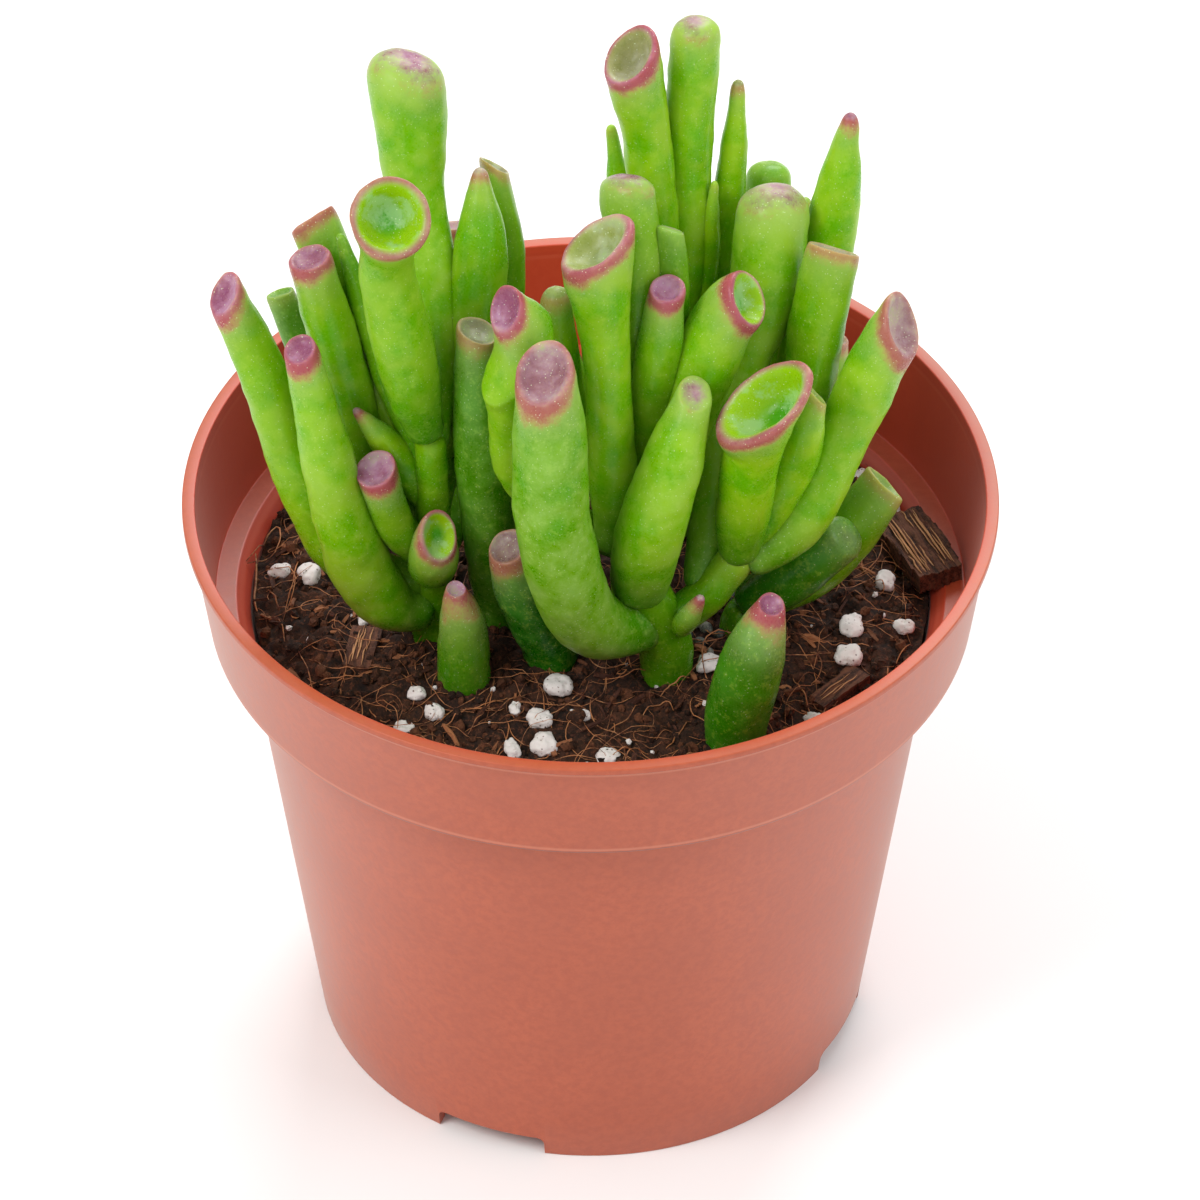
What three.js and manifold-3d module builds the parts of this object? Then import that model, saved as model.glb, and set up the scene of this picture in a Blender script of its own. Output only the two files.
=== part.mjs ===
// Gollum jade in a round grower's pot. Millimetres, +Z up, the pot's axis is Z and the front of
// the plant faces -Y. Each leafy shoot, single leaf, grain and chip is a closed solid of its own.
import * as THREE from "three";
import { mergeVertices } from "three/addons/utils/BufferGeometryUtils.js";
import Module from "manifold-3d";

// Pot
const rimRadius = 60;
const rimHeight = 95.4;
const rimWidth = 1.9;
const lipHeight = 1.4;
const bandRadius = 56.6;
const bandHeight = 76;
const wallTopRadius = 51.4;
const footRadius = 41.3;
const wallThickness = 1.1;
const ledgeHeight = 77.6;
const ledgeInnerRadius = 52.4;
const footHeight = 3.5;
const footWidth = 2;
const floorThickness = 1.2;
const potSides = 56;

// Drainage
const notchCount = 4;
const notchAngle = -111.5;
const notchWidth = 17;
const notchReach = 12;
const drainRadius = 4;
const drainDistance = 31;
const drainSides = 20;

// Soil
const soilLevel = 79;
const soilMound = 0.8;
const edgeDrop = 2.4;
const edgeStart = 41;
const clearance = 0.3;
const soilRings = 9;
const lumpHeight = 0.5;
const rippleHeight = 0.3;
const stemFloor = 67;
const leafFloor = 72;
const holeSides = 12;
const cutHeight = 8;

// Grains of perlite: height and width of each level, as shares of the grain's size
const grainLevels = [[0, 0.7], [0.44, 1], [0.92, 0.75]];
const grainHeight = 1.3;
const grainSides = 7;
const grainSunk = 0.45;
const chipSunk = 0.6;
const chipMargin = 0.45;

// Leaves
const leafSides = 8;
const stoutSides = 10;
const stoutGirth = 4.4;
const ringSpacing = 8;
const fewestRings = 3;
const mostRings = 8;
const mouthStart = 0.62;
const steepestMouth = 0.4;
const straightMouth = 0.05;
const tipRise = 0.7;
const bowlShape = [[0.82, 0], [0.66, 0.6], [0.33, 1]];
const domeShape = [[0.87, 0.5], [0.6, 0.85], [0.3, 0.97]];

const colours = {
  pot: 0xb9654c,
  leaf: 0x6f9e22,
  oldLeaf: 0x4e8a2c,
  perlite: 0xe9e6e0,
  bark: 0x5a3222,
  soil: 0x3a2018,
};

const up = new THREE.Vector3(0, 0, 1);

const wasm = await Module();
wasm.setup();

function solidOf(geometry) {
  const bare = geometry.clone();
  bare.deleteAttribute("normal");
  bare.deleteAttribute("uv");
  const welded = mergeVertices(bare, 1e-4);
  const mesh = new wasm.Mesh({
    numProp: 3,
    vertProperties: new Float32Array(welded.attributes.position.array),
    triVerts: new Uint32Array(welded.index.array),
  });
  return new wasm.Manifold(mesh);
}

function geometryOf(solid) {
  const mesh = solid.getMesh();
  const geometry = new THREE.BufferGeometry();
  geometry.setAttribute("position", new THREE.BufferAttribute(mesh.vertProperties, 3));
  geometry.setIndex(new THREE.BufferAttribute(mesh.triVerts, 1));
  return geometry;
}

// Closed skin over rings of equal count, with a pole at each end. The rings run clockwise seen
// from the second pole, so the faces point outwards.
function skin(rings, startPole, endPole) {
  const sides = rings[0].length;
  const points = [startPole, ...rings.flat(), endPole];
  const index = [];
  const at = (ring, side) => 1 + ring * sides + (side % sides);
  const last = points.length - 1;
  for (let side = 0; side < sides; side += 1) {
    index.push(0, at(0, side + 1), at(0, side));
    index.push(last, at(rings.length - 1, side), at(rings.length - 1, side + 1));
    for (let ring = 0; ring < rings.length - 1; ring += 1) {
      index.push(at(ring, side), at(ring, side + 1), at(ring + 1, side + 1));
      index.push(at(ring, side), at(ring + 1, side + 1), at(ring + 1, side));
    }
  }
  const geometry = new THREE.BufferGeometry().setFromPoints(points);
  geometry.setIndex(index);
  return geometry;
}

function uprightCylinder({ radius, bottom, top, x, y, sides }) {
  const geometry = new THREE.CylinderGeometry(radius, radius, top - bottom, sides);
  geometry.rotateX(Math.PI / 2);
  geometry.translate(x, y, (top + bottom) / 2);
  return solidOf(geometry);
}

// Smooth value at t from 0 to 1 through evenly spaced keys.
function along(keys, t) {
  const last = keys.length - 1;
  const i = Math.min(Math.floor(t * last), last - 1);
  const s = t * last - i;
  const before = keys[Math.max(i - 1, 0)];
  const after = keys[Math.min(i + 2, last)];
  const slope = keys[i + 1] - before;
  const bend = 2 * before - 5 * keys[i] + 4 * keys[i + 1] - after;
  const twist = 3 * keys[i] - before - 3 * keys[i + 1] + after;
  return 0.5 * (2 * keys[i] + slope * s + bend * s * s + twist * s * s * s);
}

function curveThrough(points) {
  const vectors = points.map(([x, y, z]) => new THREE.Vector3(x, y, z));
  return new THREE.CatmullRomCurve3(vectors, false, "centripetal");
}

// Turns the side direction square to the tangent and gives the direction across both.
function squareUp(side, tangent) {
  side.addScaledVector(tangent, -side.dot(tangent)).normalize();
  return new THREE.Vector3().crossVectors(tangent, side);
}

function roundSpoke(side, across, radius, i, sides) {
  const angle = (2 * Math.PI * i) / sides;
  const spoke = side.clone().multiplyScalar(radius * Math.cos(angle));
  return spoke.addScaledVector(across, radius * Math.sin(angle));
}

// A leaf is a fleshy tube along its path. Girth holds radii at equal steps. A cup ends in a bowl
// whose rim faces the given way, pinched where the leaf is squeezed flat. A bowl below zero is a
// round end, as on a cup seen from behind, and a tip closes to a point.
function leafSolid({ path, girth, face, bowl = 1, pinch = 1, tip = false }) {
  const curve = curveThrough(path);
  const sides = Math.max(...girth) > stoutGirth ? stoutSides : leafSides;
  const spaces = Math.round(curve.getLength() / ringSpacing);
  const steps = THREE.MathUtils.clamp(spaces, fewestRings, mostRings);
  const facing = face ? new THREE.Vector3(...face).normalize() : null;
  const side = new THREE.Vector3(1, 0, 0);
  const rings = [];
  const ringAt = (centre, tangent, radius, opened, sunk) => {
    const across = squareUp(side, tangent);
    const lean = new THREE.Vector3();
    if (facing) {
      lean.copy(facing).addScaledVector(tangent, -facing.dot(tangent));
    }
    const tilt = facing ? Math.max(facing.dot(tangent), steepestMouth) : 1;
    const squeeze = lean.length() > straightMouth ? lean.clone().normalize() : across;
    const ring = [];
    for (let i = 0; i < sides; i += 1) {
      const spoke = roundSpoke(side, across, radius, i, sides);
      spoke.addScaledVector(squeeze, spoke.dot(squeeze) * (pinch - 1) * opened);
      const rise = (-spoke.dot(lean) / tilt) * opened - sunk;
      ring.push(centre.clone().add(spoke).addScaledVector(tangent, rise));
    }
    rings.push(ring);
  };
  for (let step = 0; step <= steps; step += 1) {
    const t = step / steps;
    const opened = THREE.MathUtils.smoothstep(t, mouthStart, 1);
    ringAt(curve.getPointAt(t), curve.getTangentAt(t), along(girth, t), tip ? 0 : opened, 0);
  }
  const end = curve.getPointAt(1);
  const tangent = curve.getTangentAt(1);
  const mouth = girth[girth.length - 1];
  if (!tip) {
    for (const [width, depth] of bowl > 0 ? bowlShape : domeShape) {
      ringAt(end, tangent, mouth * width, 1, bowl * depth);
    }
  }
  const start = curve.getPointAt(0);
  const pole = end.clone().addScaledVector(tangent, tip ? mouth * tipRise : -bowl);
  return solidOf(skin(rings, start, pole));
}

// A stem stands upright in its hole and then follows its path.
function stemSolid(path, girth, floor) {
  const [x, y] = path[0];
  const curve = curveThrough([[x, y, floor], [x, y, soilLevel], ...path]);
  const steps = Math.max(fewestRings + 2, Math.round(curve.getLength() / ringSpacing));
  const rings = [];
  const side = new THREE.Vector3(1, 0, 0);
  for (let step = 0; step <= steps; step += 1) {
    const t = step / steps;
    const across = squareUp(side, step ? curve.getTangentAt(t) : up);
    const centre = curve.getPointAt(t);
    const radius = along(girth, t);
    const ring = [];
    for (let i = 0; i < leafSides; i += 1) {
      ring.push(roundSpoke(side, across, radius, i, leafSides).add(centre));
    }
    rings.push(ring);
  }
  return solidOf(skin(rings, new THREE.Vector3(x, y, floor), curve.getPointAt(1)));
}

const stems = {
  left: { path: [[-23, -11, 84], [-23, -12.5, 100], [-23, -12, 118]], girth: [3.6, 3.5, 2.8, 2.6, 2.4] },
  front: { path: [[11, -20, 84], [9, -20.5, 92], [5, -17.5, 101]], girth: [3.9, 4, 4.2, 3.8, 2.6] },
  middle: { path: [[6, -8, 84], [6, -8, 96], [9, -8, 112]], girth: [3, 3, 3, 2.8, 2.4] },
  back: { path: [[12, 10, 84], [11.5, 9.5, 104], [11.5, 10, 117]], girth: [3.4, 3.3, 3, 2.8, 2.4] },
  right: { path: [[25, 4, 84], [26, 3, 94], [27, 2, 104]], girth: [3.2, 3.2, 3, 2.8, 2.4] },
  low: { path: [[22, -11, 80], [22, -11, 82], [23, -11, 84]], girth: [3.4, 3.4, 3.4, 3.2, 2.8] },
};

const branch = { path: [[10, -20.5, 88], [16, -19.5, 92], [22, -18, 100]], girth: [3, 3.2, 2.9, 2.8] };

const leaves = {
  left: [
    { path: [[-23, -11, 88], [-35, -11, 92], [-42, -10, 107], [-47, -7, 124], [-52.5, -4, 137]],
      girth: [2.6, 3.9, 4, 3.9, 3.7, 3], face: [-2, -1, 2], bowl: 0.5 },
    { path: [[-23, -12, 84.2], [-28, -14, 85.4], [-32.5, -15.5, 92.5], [-36, -16.5, 106],
        [-39, -16, 123], [-41.5, -14, 135]],
      girth: [3.2, 4.6, 4.8, 4.5, 4.1, 3.4, 2.5], face: [-1, -1, 3], bowl: 0.4 },
    { path: [[-23, -12, 98], [-31, -8, 107], [-36, -5, 125], [-40.3, -2, 142]],
      girth: [2.2, 3.2, 3.6, 3.8, 3.3], face: [-1, 0, 4], bowl: 0.6 },
    { path: [[-23, -12, 103], [-31, -3, 118], [-36, 3, 132], [-40, 6, 142.5]],
      girth: [2.2, 2.9, 3.4, 3.9, 4.1], face: [-1, 1, 1], bowl: 0.6, pinch: 0.6 },
    { path: [[-23, -11, 95], [-38, 2, 112], [-45, 7, 128]],
      girth: [1.8, 2.4, 2.8, 2.9, 2.2], face: [-1, 1, 3], bowl: 0.4 },
    { path: [[-23.5, -12, 117], [-25.3, -13, 126], [-27, -13, 136], [-29, -12, 148.5],
        [-28.7, -13.5, 156], [-28.2, -17, 161.8]],
      girth: [3, 4.1, 4.8, 4.4, 4.2, 6.2], face: [1, -6, 6], bowl: 3.4 },
    { path: [[-23, -12, 114], [-22.5, 0, 132], [-25, 8, 144.5], [-25.8, 12, 154.5], [-26.5, 14.5, 162]],
      girth: [2.6, 3.8, 4.2, 4.3, 4.7, 6.1, 5.2], face: [1, 1, 4], bowl: -3.6 },
    { path: [[-24, -11, 107], [-21.5, -6, 114], [-17.5, -2, 128], [-15.7, 4, 141], [-16, 8, 150]],
      girth: [2.2, 3.6, 4.2, 4.3, 3.9, 1.3], tip: true },
    { path: [[-23, -12, 100], [-20.5, -4, 107], [-14.5, 3, 120], [-12, 10, 133], [-14, 16, 144.5]],
      girth: [2.2, 2.8, 3.1, 3.2, 3.6], face: [2, 2, 3], bowl: 0.5, pinch: 0.6 },
    { path: [[-23, -12, 109], [-31, -3, 128], [-36, 2, 143]],
      girth: [1.8, 2.4, 2.6, 2.1, 0.8], tip: true },
    { path: [[-23, -12, 103], [-28.5, -11, 113], [-33.8, -12, 122]],
      girth: [1.8, 2.6, 2.8, 2, 0.8], tip: true },
    { path: [[-23, -12, 93], [-28, -16, 103], [-31, -17, 115]],
      girth: [2.2, 2.7, 2.9, 3, 3.4], face: [-1, -1, 3], bowl: 0.6 },
    { path: [[-23, -12, 91], [-23, -17, 98], [-22, -19, 104]],
      girth: [2.8, 3.6, 3.9, 3.1], face: [1, -2, 1], bowl: -1.4 },
    { path: [[-22, -10, 93], [-21.5, -8, 100], [-21, -7.5, 108]], girth: [1, 1.4, 1.2, 0.6], tip: true },
    { path: [[-23, -11, 97], [-26, 4, 106], [-30, 14, 124]],
      girth: [2.2, 3.4, 3.8, 3.8, 3], face: [0, 1, 3], bowl: 0.8 },
    { path: [[-22, -11, 94], [-16, 4, 100], [-14, 12, 112]], girth: [2.2, 3.2, 3.6, 3.2, 2], tip: true },
    { path: [[-22, -11, 108], [-22, 10, 118], [-20, 20, 130]],
      girth: [2.2, 3.4, 3.8, 4, 3.4], face: [0, 1, 2], bowl: 1 },
    { path: [[-24, -10, 92], [-34, 4, 100], [-40, 11, 115]], girth: [2, 3.2, 3.6, 3.2, 2], tip: true },
  ],
  front: [
    { path: [[10, -20, 88], [0.5, -25.5, 92.5], [-5, -28.5, 112], [-5.8, -28, 130], [-6.5, -26, 140.5]],
      girth: [3.6, 5.2, 5.7, 5.8, 5.8, 5.6, 4.5], face: [-1, -2, 4], bowl: 0.9 },
    { path: [[4, -17, 100], [3, -15, 119], [2, -12, 137], [1, -10, 151]],
      girth: [3.5, 3.7, 3.6, 4, 5.8], face: [-3, 0, 5], bowl: 2.4 },
    { path: [[7, -20, 94], [8.7, -23, 109], [12.4, -21, 122], [15, -18, 130]],
      girth: [4.2, 5.1, 5.1, 4.5, 2.8], face: [1, -1, 3], bowl: 0.6 },
    { path: [[16, -19, 93], [18, -9, 103], [20, -1, 117], [25.2, 5, 130], [26.4, 10, 141]],
      girth: [2.8, 3.6, 4, 4.9, 5.9, 5.3], face: [0, 1, 3], bowl: -4 },
    { path: [[21.5, -18, 99], [23, -19, 117], [25, -20, 130]],
      girth: [3, 4.1, 4.3, 4.6, 6.5], face: [-3, -1, 4], bowl: 3.8 },
    { path: [[22, -18, 98], [29, -14, 112], [32, -13, 126]],
      girth: [2.4, 3, 3.4, 3.7, 3.2], face: [2, 1, 2], bowl: 0.8, pinch: 0.6 },
    { path: [[22, -18, 98], [29.6, -15, 102.6], [36.4, -10, 115.2], [42, -6.5, 127.4], [44.8, -5, 131.8]],
      girth: [3.2, 4.3, 4.4, 4.3, 4.5, 4.4], face: [3, -1, 2], bowl: 1.4 },
    { path: [[12, -20, 87], [14, -24, 92], [16, -24.5, 97]], girth: [1.4, 1.9, 1.6, 0.8], tip: true },
  ],
  middle: [
    { path: [[5, -8, 92], [-4, -13, 103], [-11, -17, 115], [-11.5, -18, 130], [-9.8, -17, 139],
        [-12, -17.5, 145.5]],
      girth: [2.2, 2.8, 3, 3, 3, 3.3, 4.7, 3], face: [-2, -2, 2], bowl: 0.5 },
    { path: [[8, -8, 108], [7, -4, 136], [5.3, 2, 151.5]],
      girth: [2.6, 3.6, 4, 4.9, 4.8], face: [0, 1, 2], bowl: -2.2, pinch: 0.8 },
    { path: [[9, -8, 109], [11, -5, 133], [11.3, -2, 147]],
      girth: [2.4, 3, 3.2, 3.4, 2.7], face: [1, 2, 3], bowl: -0.8, pinch: 0.7 },
    { path: [[6, -8, 98], [9, -10, 123], [11, -9, 142]],
      girth: [2.4, 3.4, 3.5, 3.6, 2.7], face: [0, -1, 4], bowl: 0.7 },
    { path: [[8, -8, 100], [11, -10, 110], [15.5, -9, 126], [20.3, -7.5, 137], [22.5, -8, 139.5]],
      girth: [2.6, 4.2, 4.9, 5.2, 4.6], face: [3, -1, 2], bowl: 1.8 },
    { path: [[6, -8, 102], [-3, -7, 118], [-5, -4, 137]], girth: [2, 2.6, 2.9, 2.9, 2.3], tip: true },
    { path: [[6, -8, 97], [-1, 3, 106], [-6, 8, 119]],
      girth: [2.2, 3.4, 3.8, 3.6, 2.8], face: [-1, 1, 3], bowl: 0.8 },
  ],
  back: [
    { path: [[11, 9, 112], [9.3, 12, 140], [7.6, 16, 155], [5.8, 17, 164]],
      girth: [2.6, 3.6, 3.6, 3.7, 4.6], face: [-2, -1, 3], bowl: 2.4 },
    { path: [[12, 10, 112], [14, 12, 128], [14, 17, 144], [15.2, 22, 164]],
      girth: [2.6, 3.6, 3.8, 3.8, 3.9, 3.8], face: [0, 1, 5], bowl: -2.6 },
    { path: [[11, 10, 108], [5, 18, 133], [3, 22, 147]], girth: [1.8, 2.4, 2.4, 2, 0.8], tip: true },
    { path: [[12, 10, 106], [18, 14, 124], [20.4, 18, 140], [21.4, 22, 155]],
      girth: [1.8, 2.4, 2.5, 2.4, 0.9], tip: true },
    { path: [[13, 10, 104], [21, 16, 118], [25, 20, 129], [26, 23, 137]],
      girth: [2.2, 3.4, 3.9, 4, 3.4], face: [0, 1, 3], bowl: -2 },
    { path: [[12, 9, 106], [16, 10, 122], [17, 12, 132], [18, 14, 143]],
      girth: [1.6, 1.9, 2, 1.7, 0.6], tip: true },
    { path: [[12, 10, 98], [4, 22, 106], [2, 28, 118]],
      girth: [2.2, 3.4, 3.8, 3.8, 3], face: [0, 1, 3], bowl: 0.8 },
    { path: [[12, 11, 100], [12, 24, 110], [12, 32, 122]],
      girth: [2.2, 3.4, 3.9, 4.2, 4.4], face: [0, 1, 1], bowl: 1.6 },
    { path: [[13, 11, 95], [20, 22, 103], [23, 28, 115]], girth: [2.2, 3.4, 3.8, 3.4, 1.8], tip: true },
    { path: [[11, 10, 91], [0, 15, 97], [-4, 20, 105]],
      girth: [2.2, 3.4, 3.8, 3.6, 2.8], face: [-1, 1, 3], bowl: 0.7 },
  ],
  right: [
    { path: [[27, 2, 100], [33.5, 10, 128], [37.6, 17, 153]],
      girth: [2.4, 3.4, 3.9, 4, 3.5, 1.3], tip: true },
    { path: [[27, 2, 98], [31, -3, 113], [32.6, -1, 128], [35, 1, 141]],
      girth: [2.4, 3.4, 4, 4.4, 4.2], face: [1, 2, 3], bowl: 0.9, pinch: 0.7 },
    { path: [[27, 3, 98], [30, 16, 122], [31.4, 21, 134]], girth: [2, 2.6, 2.8, 2.4, 1], tip: true },
    { path: [[26, 4, 94], [33, 11, 103], [35, 14, 114]],
      girth: [2.2, 3.4, 3.8, 3.8, 3.2], face: [1, 1, 3], bowl: 0.9 },
    { path: [[26, 5, 92], [30, 17, 100], [33, 23, 111]], girth: [2.2, 3.2, 3.6, 3.2, 1.8], tip: true },
  ],
  low: [
    { path: [[22, -11, 84], [33, -7, 87.5], [43, -3, 100]],
      girth: [3, 4.3, 4.4, 4.4, 4], face: [2, 1, 2], bowl: 0.6, pinch: 0.7 },
    { path: [[22, -11, 83], [28, -11, 88], [37, -10, 96]],
      girth: [3, 4, 4.2, 3.8], face: [3, -1, 1], bowl: 0.6, pinch: 0.7 },
  ],
};

// Leaves that rise straight from the soil, each on its own rooted base.
const soilLeaves = {
  slim: { path: [[-13.5, -9, 82], [-14.5, -10.5, 96], [-16, -11.5, 116], [-16.2, -10, 135]],
    girth: [3.7, 4.1, 4.2, 4.2, 3.9, 3.2], face: [1, 0, 3], bowl: 0.5 },
  dark: { path: [[-5.8, -16.8, 82], [-9.3, -18.4, 92], [-12, -19.2, 102]],
    girth: [4.6, 4.7, 4.4, 3.2], face: [-1, -1, 3], bowl: 0.5 },
  cone: { path: [[-18.5, -22, 82], [-18.5, -22, 89], [-19.5, -21.5, 96]],
    girth: [4.2, 4, 3.3, 1.6], face: [0, -1, 4], bowl: 0.3 },
  stout: { path: [[21, -34, 82], [23, -34.5, 92], [26, -33, 103]],
    girth: [5, 5.1, 4.9, 4.2, 2.1], face: [1, -1, 4], bowl: 0.4 },
};

// Pot: one wall of even thickness that steps out into the band under the rim.
const bandTopRadius = rimRadius - 0.9;
const innerTopRadius = rimRadius - rimWidth;
const innerBandRadius = bandRadius - wallThickness;
const innerWallRadius = wallTopRadius - wallThickness;
const floorTop = footHeight + floorThickness;
const innerFloorRadius = footRadius - wallThickness;
const potProfile = [
  [0, footHeight],
  [footRadius - footWidth, footHeight],
  [footRadius - footWidth, 0],
  [footRadius - 0.3, 0],
  [footRadius, 0.4],
  [wallTopRadius, bandHeight - 0.8],
  [bandRadius - 0.7, bandHeight - 0.4],
  [bandRadius, bandHeight + 0.3],
  [bandTopRadius, rimHeight - lipHeight],
  [rimRadius, rimHeight - lipHeight + 0.3],
  [rimRadius, rimHeight - 0.5],
  [rimRadius - 0.5, rimHeight],
  [innerTopRadius + 0.5, rimHeight],
  [innerTopRadius, rimHeight - 0.5],
  [innerBandRadius, ledgeHeight + 0.5],
  [innerBandRadius - 0.6, ledgeHeight],
  [ledgeInnerRadius, ledgeHeight],
  [innerWallRadius + 0.4, ledgeHeight - 1],
  [innerWallRadius, ledgeHeight - 2.4],
  [innerFloorRadius, floorTop + 0.8],
  [innerFloorRadius - 0.8, floorTop],
  [0, floorTop],
];

function potSolid() {
  const outline = potProfile.map(([radius, height]) => new THREE.Vector2(radius, height));
  const lathe = new THREE.LatheGeometry(outline, potSides);
  lathe.rotateX(Math.PI / 2);
  let pot = solidOf(lathe);
  for (let i = 0; i < notchCount; i += 1) {
    const angle = THREE.MathUtils.degToRad(notchAngle + (360 * i) / notchCount);
    const notch = new THREE.BoxGeometry(notchReach, notchWidth, 2 * footHeight);
    notch.translate(footRadius, 0, 0);
    notch.rotateZ(angle);
    const drain = uprightCylinder({
      radius: drainRadius,
      bottom: 0,
      top: 2 * floorTop,
      x: drainDistance * Math.cos(angle),
      y: drainDistance * Math.sin(angle),
      sides: drainSides,
    });
    pot = pot.subtract(solidOf(notch)).subtract(drain);
  }
  return pot;
}

function soilHeight(x, y) {
  const radius = Math.hypot(x, y);
  const drop = edgeDrop * THREE.MathUtils.smoothstep(radius, edgeStart, innerWallRadius);
  const mound = soilMound * (1 - (radius / innerWallRadius) ** 2);
  const lumps = lumpHeight * Math.sin(0.9 * x + 0.4) * Math.cos(0.8 * y - 0.6);
  const ripples = rippleHeight * Math.sin(1.7 * x - 1.1 * y);
  return soilLevel + mound - drop + lumps + ripples;
}

function soilSolid() {
  const topRadius = innerWallRadius - clearance - 0.1;
  const bottomRadius = innerFloorRadius - 0.8 - clearance;
  const ringOf = (radius, height) => {
    const ring = [];
    for (let i = 0; i < potSides; i += 1) {
      const angle = (2 * Math.PI * i) / potSides;
      const x = radius * Math.cos(angle);
      const y = radius * Math.sin(angle);
      ring.push(new THREE.Vector3(x, y, height ?? soilHeight(x, y)));
    }
    return ring;
  };
  const rings = [ringOf(bottomRadius, floorTop)];
  for (let ring = soilRings; ring > 0; ring -= 1) {
    rings.push(ringOf((topRadius * ring) / soilRings));
  }
  const bottom = new THREE.Vector3(0, 0, floorTop);
  return solidOf(skin(rings, bottom, new THREE.Vector3(0, 0, soilHeight(0, 0))));
}

// Perlite: x, y and size of each grain that shows on the soil.
const grains = [
  [-46, 2.7, 1.9], [-41.5, 0.5, 2.3], [-33.5, -9.5, 1.4], [-25.3, -25.6, 1.6], [-22.8, -29.5, 1.8],
  [-27.2, -33, 1.6], [-4.6, -24.6, 2.7], [-11, -29.2, 1.3], [-7.4, -31.4, 2.2], [-6.6, -36.9, 2.6],
  [-11.4, -37.9, 2], [-1.5, -30.3, 1.9], [2.6, -39.6, 2.1], [17.4, -20, 2.2], [33, -30.4, 2.1],
  [37.8, -17.6, 2.3], [38.3, -11.4, 2.4], [43.6, -0.4, 2.2], [46.3, -9.4, 1.7], [44.5, 16.8, 2],
  [40, 24.8, 2.3], [15.2, -9.6, 1.8], [1.6, -15.4, 1.5],
];

function seededRandom(seed) {
  let state = seed;
  return () => {
    state = (state * 16807) % 2147483647;
    return state / 2147483647;
  };
}

// A grain stands on its flat underside at the origin.
function grainSolid(size, random) {
  const stretch = 0.6 + 0.25 * random();
  const rings = grainLevels.map(([height, width]) => {
    const ring = [];
    for (let i = 0; i < grainSides; i += 1) {
      const angle = (2 * Math.PI * i) / grainSides;
      const reach = size * width * (0.88 + 0.12 * random());
      const x = reach * Math.cos(angle);
      const y = stretch * reach * Math.sin(angle);
      ring.push(new THREE.Vector3(x, y, height * size));
    }
    return ring;
  });
  return solidOf(skin(rings, new THREE.Vector3(), new THREE.Vector3(0, 0, grainHeight * size)));
}

// Bark chips: outline corners round the middle, thickness, turn and the height they lie at.
const chips = [
  { name: "bark_chip_large", x: 48.6, y: 6.5, turn: 114, thickness: 3.2, floor: ledgeHeight,
    outline: [[-6.4, -3.2], [0.4, -3.7], [6.3, -3], [7.2, 0.6], [6, 3.4], [-0.6, 3], [-6.9, 2.6]] },
  { name: "bark_chip_left", x: -33.5, y: -15.8, turn: 80, thickness: 1.8,
    outline: [[-4.2, -1.4], [3.6, -1.7], [4.4, 0.4], [3, 1.6], [-3.8, 1.5]] },
  { name: "bark_chip_right", x: 36.2, y: -24, turn: 48, thickness: 1.6,
    outline: [[-4.6, -1], [3.8, -1.4], [4.8, 0.3], [3.6, 1.3], [-4.2, 1.2]] },
];

// A chip lies on the origin. The margin widens its outline for the hollow it lies in.
function chipGeometry(outline, depth, margin) {
  const shape = new THREE.Shape();
  outline.forEach(([length, width], i) => {
    const reach = 1 + margin / Math.hypot(length, width);
    if (i) {
      shape.lineTo(length * reach, width * reach);
    } else {
      shape.moveTo(length * reach, width * reach);
    }
  });
  shape.closePath();
  return new THREE.ExtrudeGeometry(shape, { depth, bevelEnabled: false });
}

function addMesh(group, name, solid, color, roughness) {
  const material = new THREE.MeshStandardMaterial({ color, roughness, metalness: 0 });
  const mesh = new THREE.Mesh(geometryOf(solid), material);
  mesh.name = name;
  group.add(mesh);
  return mesh;
}

const pottedPlant = new THREE.Group();
const foliage = new THREE.Group();
const topDressing = new THREE.Group();
pottedPlant.add(foliage, topDressing);

let soil = soilSolid();

function holeInSoil([x, y], radius, floor, sides) {
  const top = soilLevel + cutHeight;
  const hole = uprightCylinder({ radius: radius + clearance, bottom: floor, top, x, y, sides });
  soil = soil.subtract(hole);
}

function addShoots() {
  for (const [name, { path, girth }] of Object.entries(stems)) {
    let shoot = stemSolid(path, girth, stemFloor);
    if (name === "front") {
      shoot = shoot.add(leafSolid({ ...branch, tip: true }));
    }
    for (const leaf of leaves[name]) {
      shoot = shoot.add(leafSolid(leaf));
    }
    addMesh(foliage, `shoot_${name}`, shoot, colours.leaf, 0.45);
    holeInSoil(path[0], Math.max(...girth), stemFloor, holeSides);
  }
}

function addSoilLeaves() {
  for (const [name, leaf] of Object.entries(soilLeaves)) {
    const root = leaf.girth[0];
    const base = stemSolid([leaf.path[0]], [root, root, root], leafFloor);
    addMesh(foliage, `leaf_${name}`, base.add(leafSolid(leaf)), colours.oldLeaf, 0.45);
    holeInSoil(leaf.path[0], root, leafFloor, holeSides);
  }
}

function addGrains() {
  const random = seededRandom(7);
  grains.forEach(([x, y, size], i) => {
    const floor = soilHeight(x, y) - grainSunk * size;
    const name = `perlite_${String(i + 1).padStart(2, "0")}`;
    const grain = addMesh(topDressing, name, grainSolid(size, random), colours.perlite, 0.9);
    grain.rotation.z = random() * Math.PI;
    grain.position.set(x, y, floor);
    holeInSoil([x, y], size, floor, grainSides);
  });
}

function addChips() {
  for (const { name, x, y, turn, thickness, outline, floor } of chips) {
    const bed = floor ?? soilHeight(x, y) - chipSunk * thickness;
    const angle = THREE.MathUtils.degToRad(turn);
    const slab = solidOf(chipGeometry(outline, thickness, 0));
    const chip = addMesh(topDressing, name, slab, colours.bark, 0.9);
    chip.rotation.z = angle;
    chip.position.set(x, y, bed);
    const hollow = chipGeometry(outline, cutHeight, chipMargin);
    hollow.rotateZ(angle);
    hollow.translate(x, y, bed);
    soil = soil.subtract(solidOf(hollow));
  }
}

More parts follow.
